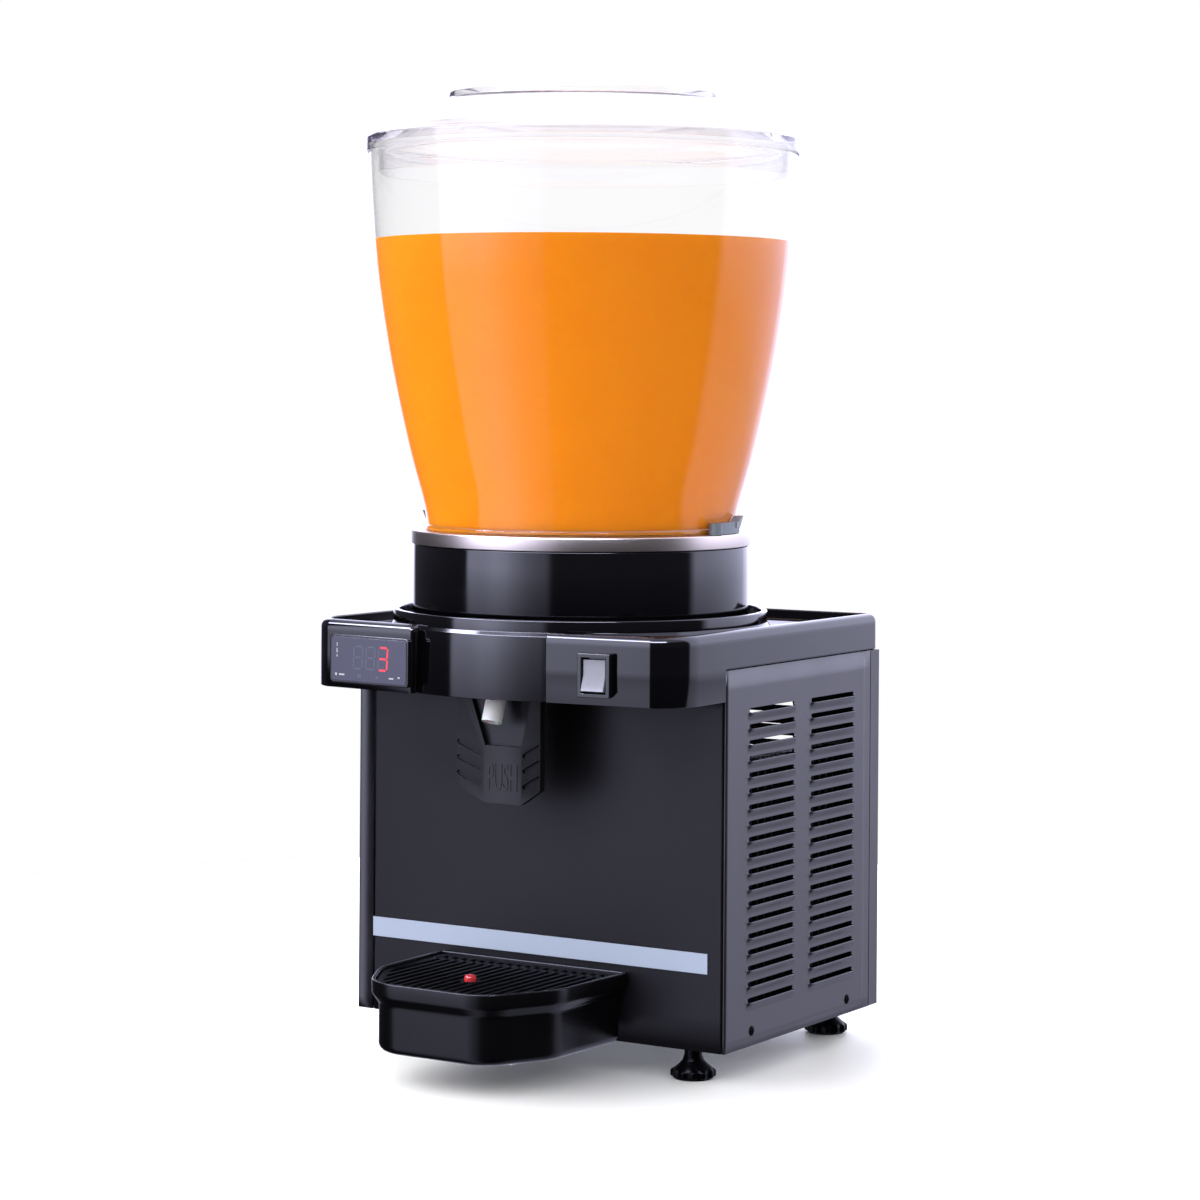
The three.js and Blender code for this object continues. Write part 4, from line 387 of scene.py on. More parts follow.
def finish(name, base, drift, rough, wander, grain, relief, metal=0.0, specular=0.5, **sockets):
    """Principled surface: colour from base to drift by a slow noise, roughness rough +- wander,
    bumps grain millimetres across and relief millimetres high."""
    look, tree, spot = new_look(name)
    slow = noise(tree, spot, 18.0, 3.0)
    shader = add(tree, "BsdfPrincipled", {
        "Base Color": mixed(tree, slow, (*base, 1), (*drift, 1)),
        "Roughness": ranged(tree, slow, rough - wander, rough + wander, low=0.3, high=0.7),
        "Normal": relief_of(tree, noise(tree, spot, 1000 / grain, 2.0), relief / 1000),
        "Metallic": metal, "Specular IOR Level": specular, **sockets})
    add(tree, "OutputMaterial", {"Surface": shader.outputs[0]})
    return look


# %% [markdown]
# ## Black plastics, paint and metals
#
# What tells one black from another here is its gloss: polished hood and collar, a duller tray,
# satin lever, nearly matt grate and feet, and the orange skin of powder coat. Low specular levels
# keep the dull ones from turning grey in the bright studio. Silicone lets light under its skin, and
# a metal's base colour tints the mirror itself.

# %% Blacks
gloss_black = finish("gloss_black_moulding", (0.0018, 0.0015, 0.0025), (0.003, 0.0026, 0.004),
                     0.09, 0.03, 6.0, 0.004, IOR=1.5)
satin_black = finish("satin_black_moulding", (0.003, 0.003, 0.0035), (0.006, 0.006, 0.007),
                     0.45, 0.06, 0.7, 0.02, specular=0.24)
bezel_black = finish("bezel_moulding", (0.004, 0.004, 0.005), (0.006, 0.006, 0.008),
                     0.14, 0.03, 2.0, 0.004, IOR=1.55)
lever_black = finish("lever_moulding", (0.005, 0.005, 0.006), (0.008, 0.008, 0.01),
                     0.38, 0.04, 0.9, 0.012, specular=0.3)
foot_black = finish("foot_moulding", (0.0006, 0.0006, 0.0008), (0.001, 0.001, 0.0012),
                    0.3, 0.05, 0.9, 0.01, specular=0.06)
grate_black = finish("grate_moulding", (0.0015, 0.0015, 0.002), (0.0025, 0.0025, 0.003),
                     0.5, 0.05, 0.9, 0.015, specular=0.06)
tray_black = finish("tray_moulding", (0.0015, 0.0015, 0.002), (0.003, 0.003, 0.004),
                    0.27, 0.04, 3.0, 0.006, specular=0.26)
screw_black = finish("black_screw", (0.0006, 0.0006, 0.0008), (0.001, 0.001, 0.0012),
                     0.35, 0.05, 0.8, 0.01, specular=0.02)
powder_coat = finish("black_powder_coat", (0.009, 0.008, 0.012), (0.013, 0.012, 0.017),
                     0.36, 0.05, 1.1, 0.012, specular=0.72)
front_coat = finish("front_powder_coat", (0.003, 0.0025, 0.004), (0.005, 0.0045, 0.006),
                    0.42, 0.05, 1.1, 0.012, specular=0.21)
# Condenser near black: partly black enamel, partly painted shade of the cabinet's dark inside.
condenser_black_and_shade = finish("condenser_enamel_and_shade", (0.002, 0.002, 0.0025), (0.004, 0.004, 0.005),
                   0.5, 0.06, 1.0, 0.02, specular=0.1)
shell_enamel = finish("compressor_enamel", (0.01, 0.01, 0.012), (0.018, 0.018, 0.02),
                      0.25, 0.06, 2.5, 0.03)
seal_rubber = finish("seal_rubber", (0.015, 0.015, 0.015), (0.03, 0.03, 0.03), 0.6, 0.08, 0.6, 0.03)
print("black finishes:", len(bpy.data.materials))

# %% Colours and metals
latch_grey = finish("grey_latch", (0.13, 0.16, 0.2), (0.16, 0.19, 0.23), 0.42, 0.06, 0.8, 0.015)
float_red = finish("red_float", (0.42, 0.015, 0.02), (0.5, 0.025, 0.03), 0.2, 0.05, 2.0, 0.005)
tube_white = finish("milky_silicone", (0.78, 0.78, 0.84), (0.84, 0.84, 0.9), 0.42, 0.08, 1.5, 0.02,
                    **{"Subsurface Weight": 0.3, "Subsurface Scale": 0.004})
paddle_white = finish("white_paddle", (0.78, 0.78, 0.76), (0.84, 0.84, 0.82),
                      0.35, 0.05, 1.2, 0.01)
strip_film = finish("pale_strip_film", (0.31, 0.36, 0.48), (0.315, 0.366, 0.485),
                    0.3, 0.01, 1.5, 0.002)
zinc = finish("zinc_plate", (0.5, 0.52, 0.55), (0.6, 0.62, 0.64), 0.35, 0.1, 5.0, 0.01, metal=1.0)
copper = finish("copper_tube", (0.66, 0.3, 0.17), (0.5, 0.2, 0.12), 0.3, 0.1, 3.0, 0.01, metal=1.0)
foam = finish("foam_cup", (0.72, 0.66, 0.46), (0.8, 0.74, 0.55), 0.85, 0.05, 1.6, 0.35)
print("plain finishes:", len(bpy.data.materials))

# %% [markdown]
# ## Clear plastic
#
# Through a wall of clear polycarbonate one sees almost nothing of it; along its edge light passes
# through centimetres and comes out darker and lilac. An absorbing volume does that, where a painted
# edge would slide. Light that bounces inside the thin lid would take too long to trace: the lid
# bends light less, has its gloss as a coat, and a faint painted glow, an emission, stands in for
# what its edges gather.

# %% Clear finish
def clear_plastic(name, density, tint, bending, coat, painted_glow):
    """Smooth surface round a volume that absorbs all but the tint, with a faint painted glow: an
    emission that stands in for light gathered inside the wall."""
    look, tree, spot = new_look(name)
    ripple = noise(tree, spot, 22.0, 1.0)
    # Painted glow: an emission that lightens the clear wall, though it is no lamp.
    shader = add(tree, "BsdfPrincipled", {
        "Base Color": WHITE, "Roughness": ranged(tree, ripple, 0.0, 0.03),
        "Normal": relief_of(tree, ripple, 0.00004), "IOR": bending, "Transmission Weight": 1.0,
        "Coat Weight": coat, "Coat Roughness": 0.03, "Emission Color": (0.9, 0.86, 1.0, 1),
        "Emission Strength": painted_glow})
    volume = add(tree, "VolumeAbsorption", {"Color": (*tint, 1), "Density": density})
    add(tree, "OutputMaterial", {"Surface": shader.outputs[0],
                                           "Volume": volume.outputs[0]})
    return look


# The last number of each is the strength of the painted glow.
clear_bowl = clear_plastic("clear_bowl", 9.0, (0.62, 0.58, 0.7), 1.44, 0.0, 0.004)
clear_lid = clear_plastic("clear_lid", 26.0, (0.68, 0.64, 0.78), 1.09, 1.0, 0.02)
print("clear finishes:", clear_bowl.name, "and", clear_lid.name)

# %% [markdown]
# ## Drink finish
#
# Orange drink with pulp is cloudy: light enters, scatters and leaves a few millimetres away. A true
# volume would be noisy, so a subsurface shader does it, and a slow drift of colour keeps it from
# looking like paint. All its gloss is the bowl's.

# %% Drink finish
juice = finish("orange_drink", (1.0, 0.32, 0.008), (1.0, 0.37, 0.014), 0.25, 0.03, 1.5, 0.0,
               specular=0.0, **{"Subsurface Weight": 0.2, "Subsurface Scale": 0.006,
                                "Subsurface Radius": (1.0, 0.45, 0.1)})
print("drink finish:", juice.name)

# %% [markdown]
# ## Spun steel
#
# The basin's flange was turned against a tool, so its scratches run round the axis. The pattern is
# a noise of only the distance from the axis and the height, and drives roughness and a fine relief.

# %% Spun steel finish
def spun_steel(name, axis_y):
    """Bright metal with scratches: noise over (radius, height)."""
    look, tree, spot = new_look(name)
    centred = add(tree, "Mapping", {"Vector": spot, "Location": (0, -axis_y, 0)})
    flat = add(tree, "VectorMath", {0: centred.outputs[0], 1: (1, 1, 0)},
               operation="MULTIPLY")
    radius = add(tree, "VectorMath", {0: flat.outputs[0]}, operation="LENGTH")
    height = add(tree, "SeparateXYZ", {0: centred.outputs[0]})
    line = add(tree, "CombineXYZ", {0: radius.outputs["Value"],
                                              2: height.outputs["Z"]})
    marks = noise(tree, line.outputs[0], 2500.0, 2.0)
    shader = add(tree, "BsdfPrincipled", {
        "Base Color": (0.56, 0.5, 0.46, 1), "Metallic": 1.0,
        "Roughness": ranged(tree, marks, 0.26, 0.46), "Normal": relief_of(tree, marks, 0.00001)})
    add(tree, "OutputMaterial", {"Surface": shader.outputs[0]})
    return look


bright_steel = spun_steel("spun_steel", (BOWL_AXIS - FRONT_SHIFT) / 1000)
print("finishes:", len(bpy.data.materials))

# %% [markdown]
# ## Bowl
#
# The bowl is one clear moulding with a foot flange, a wall that flares quickly and then rises
# nearly straight, and a plain rim. Its outline is a smooth curve through seven measured points. The
# inner wall stands 3 mm inside, because light bends right only in a real thickness.

# %% Bowl
BOWL_FOOT, BOWL_RISE, FOOT_RADIUS, FLARE, WALL = 364.2, 285, 114, 46.4, 3.0
rise = np.array([0, 0.07, 0.22, 0.44, 0.66, 0.86, 1]) * BOWL_RISE + BOWL_FOOT
flare = np.array([0, 0.085, 0.34, 0.636, 0.85, 0.957, 1]) * FLARE + FOOT_RADIUS
bowl_line = curve(np.stack([flare, rise], axis=1), steps=9)
bowl_inner = bowl_line[::-1] - [WALL, 0.0]
rim = np.array([bowl_line[-1] - [0.6, 0.0], bowl_inner[0] + [0.6, 0.0]])
foot_flange = arcs([(111, BOWL_FOOT), (115.8, BOWL_FOOT), (115.8, BOWL_FOOT + 2.6),
                    (114.3, BOWL_FOOT + 4.6)], [0, 0.8, 0.8, 0.6], 4)
bowl_wall = np.concatenate([foot_flange, bowl_line[1:-1], [bowl_line[-1] - [0.4, 1.0]],
                            rim, bowl_inner[1:-1]])
skin("bowl", [turned(bowl_wall)], clear_bowl)

# %% [markdown]
# ## Drink
#
# The bowl is filled to about three quarters. A drink wets its bowl, so no film of air may show: its
# skin lies inside the wall's thickness, where the bending of light makes it appear. Its top turns
# up a little at the wall.

# %% Drink
LEVEL = 579.4
heights = np.linspace(BOWL_FOOT + 1, LEVEL - 0.2, 40)
inside = np.interp(heights, bowl_line[:, 1], bowl_line[:, 0]) - 1.2
edge = inside[-1]
drink_top = [(edge - 0.2, LEVEL), (edge - 1.4, LEVEL - 0.7), (edge - 4, LEVEL - 1), (0, LEVEL - 1)]
drink_line = np.concatenate([[(0, BOWL_FOOT + 1)], np.stack([inside, heights], axis=1), drink_top])
finished("drink", weld("drink", [turned(drink_line, closed=False)]), "bowl", juice, slot="clear")

# %% [markdown]
# ## Lid
#
# The lid is a thin moulding in steps: a flange over the bowl's rim, a low cone, a crown ring to
# grip, a sunken disc, and a skirt that centres it. The profile goes over the outside and returns
# along the inside. The boss in the middle is the gate of the mould; four beads mark the quarters.

# %% Lid
SEAT, BEAD_CIRCLE = 649.5, 160.6
outside = [(0, 677.6), (5, 677.6), (5.6, 676.7), (50, 677.2), (80, 679.2), (97, 683),
           (99.2, 688.7), (101.6, 688.7), (102.4, 683.7), (109.4, 680), (128.7, 671.4),
           (146.6, 661.6), (155, 655.9), (161.9, 655.4), (162.85, 654), (162.85, 643.7),
           (161.1, 643.7), (161.1, SEAT), (153, SEAT), (153, 628.2)]
within = [(151.2, 628.2), (151.2, SEAT), (144.8, 659.8), (126.9, 669.6), (107.6, 678.2),
          (100, 681.2), (96, 680.8), (80, 678.2), (50, 676.2), (0, 675.7)]
radii = [0, 0.3, 0.3, 40, 30, 1.2, 1.2, 1.2, 2, 0, 0, 4, 2, 0.8, 0.8, 0.8, 0.8, 0.3, 1.2, 0.8,
         0.8, 1.2, 0, 0, 0, 1.0, 1.0, 30, 40, 0]
lid_wall = turned(arcs(outside + within, radii, 4), closed=False)
bead = arcs([(0, 652.2), (2, 652.2), (2, 656.2), (0, 656.2)], [0, 1.3, 1.3, 0], 4)
beads = [turned(bead, 16, BEAD_CIRCLE * np.cos(angle), BOWL_AXIS + BEAD_CIRCLE * np.sin(angle),
                closed=False) for angle in around(4)]
skin("lid", [lid_wall, *beads], clear_lid)

# %% [markdown]
# ## Collar and basin
#
# A gloss black ring hides the cold basin; the basin's rolled steel flange lies on it as a bright
# line. Both are turned, with small corner arcs for the highlights. Floor and spindle show when the
# bowl is lifted off.

# %% Collar and basin
collar_line = arcs([(125.2, 297.3), (125.2, 353.3), (124.1, 353.4), (124.1, 362.1), (121.9, 362.1),
                    (121.9, 354), (122.2, 353), (122.2, 297.3)],
                   [0.5, 0.7, 0.3, 0.3, 0.3, 0.2, 0.2, 0.5])
skin("collar", [turned(collar_line)], gloss_black)
basin_line = arcs([(0, 313.9), (92, 313.9), (101, 326), (102.5, 363.9), (126, 363.9), (126, 353.9),
                   (124.6, 353.9), (124.6, 362.4), (104, 362.4), (102.5, 326), (92, 312.4),
                   (0, 312.4)], [0, 8, 8, 1.6, 1.3, 0.5, 0.5, 0.4, 0.4, 8, 8, 0])
spindle = arcs([(0, 313), (4, 313), (4, 337.9), (0, 337.9)], [0, 0, 1, 0], 4)
skin("basin", [turned(basin_line, closed=False), turned(spindle, 32, closed=False)], bright_steel)

# %% [markdown]
# ## Outlines made of arcs
#
# The outlines of hood and tray are a few arcs joined by straight lines. Taking the same amount off
# every radius moves the outline inwards, so rings at several insets and heights make a wall with
# rounded edges.

# %% Arc outlines
def outline(arc_list, inset, steps=10):
    """Points round arcs of (x, y, radius, from, to), each radius less the inset; under a larger
    inset the straight sides meet in a sharp corner."""
    x, y, radius, start, end = np.asarray(arc_list, float).T[:, :, None]
    angle = np.radians(start + (end - start) * np.linspace(0, 1, steps))
    reach, tight = np.maximum(radius - inset, 0), np.minimum(radius - inset, 0)
    first, last = np.radians(start), np.radians(end)
    tight = tight / (1 + np.cos(last - first))
    points_x = x + reach * np.cos(angle) + tight * (np.cos(first) + np.cos(last))
    points_y = y + reach * np.sin(angle) + tight * (np.sin(first) + np.sin(last))
    return np.stack([points_x, points_y], axis=-1).reshape(-1, 2)


# %% [markdown]
# ## Outline of the hood
#
# Two flat facets carry thermostat and switch, and the bowl's round housing stands between them.
# Each facet ends in a faint crease, from which a wide corner leads into the side. The hidden front
# follows the housing's wall, to leave the lever room to swing.

# %% Hood outline
HALF_WIDTH, REAR, REAR_CORNER = 160.0, 234.5, 8.4
CORNER, CREASE, CREASE_TURN = 35.0, 3, -66  # radii of front corner and crease; degrees at its end
FACET_TURN, FACET_X, FACET_Y = 5.93, 98.5, -74  # degrees that a facet looks outwards; its middle
FRONT_POINTS, STEP_AFTER = 9, 30  # points across the front; the visor ends after that many more
facet_slope = np.radians(FACET_TURN)


def hood_ring(inset, inner_end=56.0, end_radius=3.0, front_radius=None):
    """The hood's outline at an inset. Its front closes inside the housing: along the wall at that
    radius, or straight across under the roof."""
    def facet_y(x, radius):
        """Centre of an arc that touches the facet: its line at x, moved back by the radius."""
        return FACET_Y + (radius - np.sin(facet_slope) * (FACET_X - x)) / np.cos(facet_slope)

    end_x, swing = inner_end + end_radius, np.radians(CREASE_TURN)
    crease_x = HALF_WIDTH - CORNER + (CORNER - CREASE) * np.cos(swing)
    crease_y = facet_y(crease_x, CREASE)
    right = [(end_x, facet_y(end_x, end_radius), end_radius, -180, FACET_TURN - 90),
             (crease_x, crease_y, CREASE, FACET_TURN - 90, CREASE_TURN),
             (HALF_WIDTH - CORNER, crease_y - (CORNER - CREASE) * np.sin(swing), CORNER,
              CREASE_TURN, 0),
             (HALF_WIDTH - REAR_CORNER, REAR - REAR_CORNER, REAR_CORNER, 0, 90)]
    half = outline(right, inset)
    step = np.array([[HALF_WIDTH - inset, -0.8]] * 2)
    half = np.concatenate([half[:STEP_AFTER], step, half[STEP_AFTER:]])
    across = np.linspace(0, half[0, 0], FRONT_POINTS)
    back = 0 * across - 62.0 if front_radius is None \
        else BOWL_AXIS - np.sqrt(front_radius**2 - across**2)
    front = np.stack([across, back], axis=1)
    return np.concatenate([front, half, half[::-1] * [-1, 1], front[:0:-1] * [-1, 1]])


print("points round the hood:", len(hood_ring(0)))

# %% [markdown]
# ## Hood
#
# The hood's rim stands above a sunken deck that catches spills; in front a visor hangs down. Two
# closed shells run through each other: the rimmed tray from rings of the outline, and the turned
# housing. A boolean would join them but break up the even faces on which long reflections depend.

# %% Hood shell
HOOD_FOOT, SKIRT_FOOT, HOOD_TOP, DECK = 249.0, 271.8, 298.5, 290.5
RIM_ROUND, LIP_ROUND, RIM_WIDTH, SHELL = 6, 0.8, 7, 3
HOUSING_WALL = 141.2  # radius along which the visor's front closes
POCKET = 64, 8.2  # where the recess behind a facet ends, and its radius there
quarter = np.radians(np.linspace(0, 90, 7))
outer, inner = hood_ring(0, front_radius=HOUSING_WALL), hood_ring(SHELL, front_radius=140.2)
visor_low = np.where(outer[:, 1] < -0.9, HOOD_FOOT, SKIRT_FOOT)
visor_low[[FRONT_POINTS + STEP_AFTER, -FRONT_POINTS - STEP_AFTER]] = HOOD_FOOT  # upright steps
heart = 0 * outer + [0, BOWL_AXIS]
wall_rows = [place(*outer.T, height) for height in (visor_low + 0.5, SKIRT_FOOT + 1, 290)]
rim_rows = [place(*hood_ring(RIM_ROUND - RIM_ROUND * np.cos(angle)).T,
                  HOOD_TOP - RIM_ROUND + RIM_ROUND * np.sin(angle)) for angle in quarter]
lip_rows = [place(*hood_ring(RIM_WIDTH - LIP_ROUND * np.sin(angle), POCKET[0] - 2 * np.sin(angle),
                             POCKET[1]).T, HOOD_TOP - LIP_ROUND + LIP_ROUND * np.sin(angle))
            for angle in quarter[::-2]]
pocket_rows = [place(*hood_ring(RIM_WIDTH + inset, *POCKET).T, DECK + height)
               for inset, height in ((0, 1.2), (0.4, 0.4), (1.2, 0))]
deck_rows = [place(*heart.T, height) for height in (DECK, DECK - SHELL)]
under_rows = [place(*inner.T, height) for height in (DECK - SHELL, visor_low + 0.5)]
foot_rows = [place(*hood_ring(inset, front_radius=HOUSING_WALL - inset / 3).T, visor_low)
             for inset in (2.6, 0.4)]
hood_rows = [*wall_rows, *rim_rows, *lip_rows, *pocket_rows, *deck_rows, *under_rows, *foot_rows]
hood_shell = surface(np.array(hood_rows), round_rows=True, round_columns=True)
print("hood rings:", len(hood_rows))

# %% Round housing of the hood
housing_line = arcs([(142.6, HOOD_FOOT), (141.4, 294.4), (139.4, 297.2), (139.4, 305.8),
                     (135, 305.8), (135, 297), (60, 297), (60, 294), (132, 294), (138, 291),
                     (139.6, HOOD_FOOT)], [0.4, 1.8, 1.0, 1.2, 1.2, 1.0, 0.5, 0.5, 2, 3, 0.4], 6)


def over_cabinet(radius, height, angle):
    """The wall's foot rises to the skirt's over the cabinet."""
    behind = BOWL_AXIS + radius * np.sin(angle) > -0.8
    return radius, np.maximum(height, np.where(behind, SKIRT_FOOT, 0))


housing = turned(housing_line, 180, change=over_cabinet)
skin("hood", [hood_shell, housing], gloss_black, sharp=40)

# %% [markdown]
# ## Louvres
#
# To press a louvre, a tool shears a slot and pushes the metal under it outwards as a small awning.
# Relief in the material would look flat from the side, so the sheet itself moves out. Round each
# slot the grid runs in rings from the slot's outline to a rectangle, and the rectangles meet edge
# to edge.

# %% One louvre's grid
SLOT_LENGTH, SLOT_HEIGHT, PITCH, TOP_SLOT = 66.4, 3.2, 11.53, 242.0
ALONG, UPRIGHT, RINGS = 14, 8, 8
CELL_TOP, CELL_SIDE = 2.2, 5.0  # sheet above and beside a slot, in its cell
AWNING_OUT, AWNING_FALL, END_FADE = 2.15, 4.6, 3.2  # its push outwards, drop and faded ends
slot_fronts = [33.6, 126.0]
slot_tops = TOP_SLOT - PITCH * np.arange(19)


def joined(*lines):
    """Points of several lines, each a pair of arrays or numbers, one line after the other."""
    return np.concatenate([np.stack(np.broadcast_arrays(*line), axis=-1) for line in lines])


def slot_loop():
    """Matching outlines of slot and cell, measured from the slot's upper front corner: along the
    top, down the end, back along the foot and up the front."""
    s, up = np.linspace(0, 1, ALONG, endpoint=False), np.linspace(0, 1, UPRIGHT, endpoint=False)
    r, wide = SLOT_HEIGHT / 2, SLOT_LENGTH + 2 * CELL_SIDE
    flat, out, down = SLOT_LENGTH - 2 * r, r * np.sin(np.pi * up), r * np.cos(np.pi * up)
    slot = joined((r + s * flat, 0), (SLOT_LENGTH - r + out, down - r),
                  (SLOT_LENGTH - r - s * flat, -SLOT_HEIGHT), (r - out, -r - down))
    cell = joined((s * wide, 0), (wide, -up * PITCH), (wide - s * wide, -PITCH),
                  (0, up * PITCH - PITCH))
    return slot, cell + [-CELL_SIDE, CELL_TOP]


def awning(y, z):
    """How far the sheet stands out: most at the slot's foot, less by a quarter of a cosine wave
    below it, by a quarter of a sine towards both ends, and evenly into the slot."""
    depth = (-SLOT_HEIGHT - z) / AWNING_FALL
    under = depth > -0.05
    swell = np.where(under & (depth < 1), np.cos(np.clip(depth, 0, 1) * np.pi / 2) ** 1.2, 0)
    from_end = np.minimum(y + 1.8, SLOT_LENGTH + 1.8 - y) / END_FADE
    ends = np.sin(np.clip(from_end, 0, 1) * np.pi / 2)
    lip = np.clip((-SLOT_HEIGHT * 0.45 - z) / (SLOT_HEIGHT * 0.55), 0, 1)
    return AWNING_OUT * swell * ends * np.where(under, lip, 0)


slot_edge, cell_edge = slot_loop()
ring_share = np.linspace(0, 1, RINGS)[:, None, None] ** 1.3
cell_grid = slot_edge + (cell_edge - slot_edge) * ring_share
cell_out = awning(cell_grid[..., 0], cell_grid[..., 1])
print("one louvre cell:", cell_grid.shape[:2], "points, stands out",
      round(float(cell_out.max()), 2), "mm")

# %% [markdown]
# ## Folded panels
#
# Each side is one folded sheet; the left one wraps round both cabinet edges. Sheet lines stand
# wherever a louvre cell begins or ends, so that cells replace plain faces exactly. The front is a
# sheet with its upright edges folded back. A live Solidify modifier gives each its 1.5 mm.

# %% Folded sheets
BEND, SHEET = 1.8, 1.5


def louvred_panel(side, flange, depth):
    """The panel's outer face, with louvre cells in place of the sheet between their lines."""
    turn = np.radians(np.linspace(0, 90, 6))
    columns = np.array(slot_fronts)[:, None] + np.linspace(
        -CELL_SIDE, SLOT_LENGTH + CELL_SIDE, ALONG + 1)
    flat = np.array([4.0, 16.0, *columns[0], 113.0, *columns[1], 208.0])
    front, rear = [(HALF_WIDTH - flange, [0])], [(HALF_WIDTH - flange, [depth])]
    if flange:
        bend_x, bend_y = HALF_WIDTH - BEND + BEND * np.sin(turn), BEND - BEND * np.cos(turn)
        front, rear = [*front, (bend_x, bend_y)], [(bend_x[::-1], depth - bend_y[::-1]), *rear]
    sheet_line, before = joined(*front, (HALF_WIDTH, flat), *rear), len(joined(*front))
    heights = (slot_tops + CELL_TOP)[::-1, None] - PITCH + np.linspace(0, PITCH, UPRIGHT + 1)[:-1]
    heights = np.concatenate([[0, 8, 16], heights.ravel(), [TOP_SLOT + CELL_TOP, 257, 271]])
    x, y = sheet_line.T[:, None, :]
    points, faces = surface(place(side * x, y, heights[:, None]))
    keep = np.ones((len(heights) - 1, len(sheet_line) - 1), bool)
    for column in (before + 2, before + ALONG + 4):
        keep[3:3 + UPRIGHT * len(slot_tops), column:column + ALONG] = False
    plain = points, faces[keep.ravel()]
    fronts, tops = [v.ravel() for v in np.meshgrid(slot_fronts, slot_tops)]
    cells = [surface(place(side * (HALF_WIDTH + cell_out), front + cell_grid[..., 0],
                           top + cell_grid[..., 1]), round_columns=True)
             for front, top in zip(fronts, tops)]
    return [plain, *cells]


def panel(node, surfaces, look):
    """Sheet in place of a CAD node: it faces away from the cabinet's inside and is thickened
    inwards."""
    mesh, inside_cabinet = weld(node, surfaces), Vector((0, 0.07, 0.15))
    if sum(face.area * face.normal.dot(face.center - inside_cabinet) for face in mesh.polygons) < 0:
        mesh.flip_normals()
    wall = finished(f"{node}_skin", mesh, body_of[node], look, node,
                    sharp=45).modifiers.new("wall", "SOLIDIFY")
    wall.thickness, wall.offset = SHEET / 1000, -1


panel("right_side_panel", louvred_panel(1, 0, 219.6), powder_coat)
panel("left_side_panel", louvred_panel(-1, 13.8, REAR), powder_coat)

# %% Front panel
front_line = arcs([(-145.4, 13.5), (-145.4, 0), (157.7, 0), (157.7, 13.5)], [0, 1.6, 1.6, 0], 6)
front_rows = np.linspace(0, 266, 12)[:, None]
panel("front_panel", [surface(place(front_line[:, 0], front_line[:, 1], front_rows))], front_coat)

# %% [markdown]
# ## Drip tray
#
# The tray is a moulding with a band round its rim, a draft below it and a step inside for the
# grate. An extrusion would lack the draft, so the wall is rings of one outline at the insets and
# heights of a profile.

# %% Tray
tray_right = np.array([(28, -102.9, 36, -90, -29.3), (39.2, -74.4, 40, -29.3, -2.3),
                       (78, -6, 4, -2.3, 90)])
tray_left = tray_right[::-1, [0, 1, 2, 4, 3]] * [-1, 1, 1, -1, -1] + [0, 0, 0, 180, 180]
tray_arcs = np.concatenate([tray_right, tray_left])
tray_profile = arcs([(14.3, 0.1), (5.3, 0.1), (5.3, 34), (0.2, 41), (0, 51), (3, 51), (3, 45),
                     (7.8, 45), (7.8, 2.5), (16.8, 2.5)], [0, 6, 6, 5, 0.9, 0.9, 0.4, 0.6, 6, 0], 6)


def tray_ring(inset, height):
    """The tray's outline at an inset and a height."""
    return place(*outline(tray_arcs, inset, 16).T, height)


heart = 0 * outline(tray_arcs, 0, 16) + [0, -70]
tray_rows = [place(*heart.T, 0.1), *[tray_ring(*spot) for spot in tray_profile],
             place(*heart.T, 2.5)]
skin("drip_tray", [surface(np.stack(tray_rows), round_columns=True)], tray_black)

# %% [markdown]
# ## Grate and float
#
# The grate is one moulding with long slots. Cut from a plate, they would leave slivers at the
# curved front, so it is built up: a frame, bars that end under it, a bar across, and a ring round
# the float. The float's red tip says when the tray is full.

# %% Grate
GRATE_LOW, GRATE_HIGH, BAR_PITCH, BAR_WIDTH, BAR_REAR = 45.3, 48.8, 8.0, 3.2, -9.0
FLOAT_Y, FLOAT_GAP = -83.6, 5.9


def box_skins(rings):
    """Closed boxes from an array of (box, lower or upper, corner, xyz) places."""
    ends = rings[:, :, [[0, 1], [3, 2]]]
    return [surface(ring, round_columns=True) for ring in rings] \
        + [surface(end) for box in ends for end in box]


def level_boxes(west, east, front, rear):
    """Upright boxes of the grate's height over the given ranges of x and y."""
    west, east, front, rear = np.broadcast_arrays(west, east, front, rear)
    x, y = np.stack([west, east, east, west], -1), np.stack([front, front, rear, rear], -1)
    return np.stack([place(x, y, z) for z in (GRATE_LOW, GRATE_HIGH)], axis=1)


grate_profile = [(3.3, GRATE_LOW), (3.3, GRATE_HIGH), (8.3, GRATE_HIGH), (8.3, GRATE_LOW)]
grate_frame = surface(np.stack([tray_ring(*spot) for spot in grate_profile]), round_rows=True,
                      round_columns=True)
inner_line = outline(tray_arcs, 7.0, 24)
front_half = inner_line[inner_line[:, 1] < -20]
front_half = front_half[np.argsort(front_half[:, 0])]
bar_x = np.arange(-9, 10) * BAR_PITCH
bars_along = level_boxes(bar_x - BAR_WIDTH / 2, bar_x + BAR_WIDTH / 2,
                         np.interp(bar_x, *front_half.T),
                         np.where(bar_x == 0, FLOAT_Y - FLOAT_GAP, BAR_REAR))
middle_and_cross = level_boxes([-BAR_WIDTH / 2, -73.0], [BAR_WIDTH / 2, 73.0],
                               [FLOAT_Y + FLOAT_GAP, -22.3], [BAR_REAR, -18.3])
float_ring = turned([(5.0, GRATE_LOW), (7.2, GRATE_LOW), (7.2, GRATE_HIGH), (5.0, GRATE_HIGH)],
                    40, y=FLOAT_Y)
grate = skin("drip_grate", [grate_frame, float_ring, *box_skins(
    np.concatenate([bars_along, middle_and_cross]))], grate_black)
edge = grate.modifiers.new("edge", "BEVEL")
edge.width, edge.segments, edge.limit_method = 0.0004, 2, "ANGLE"
print("grate bars:", len(bar_x))

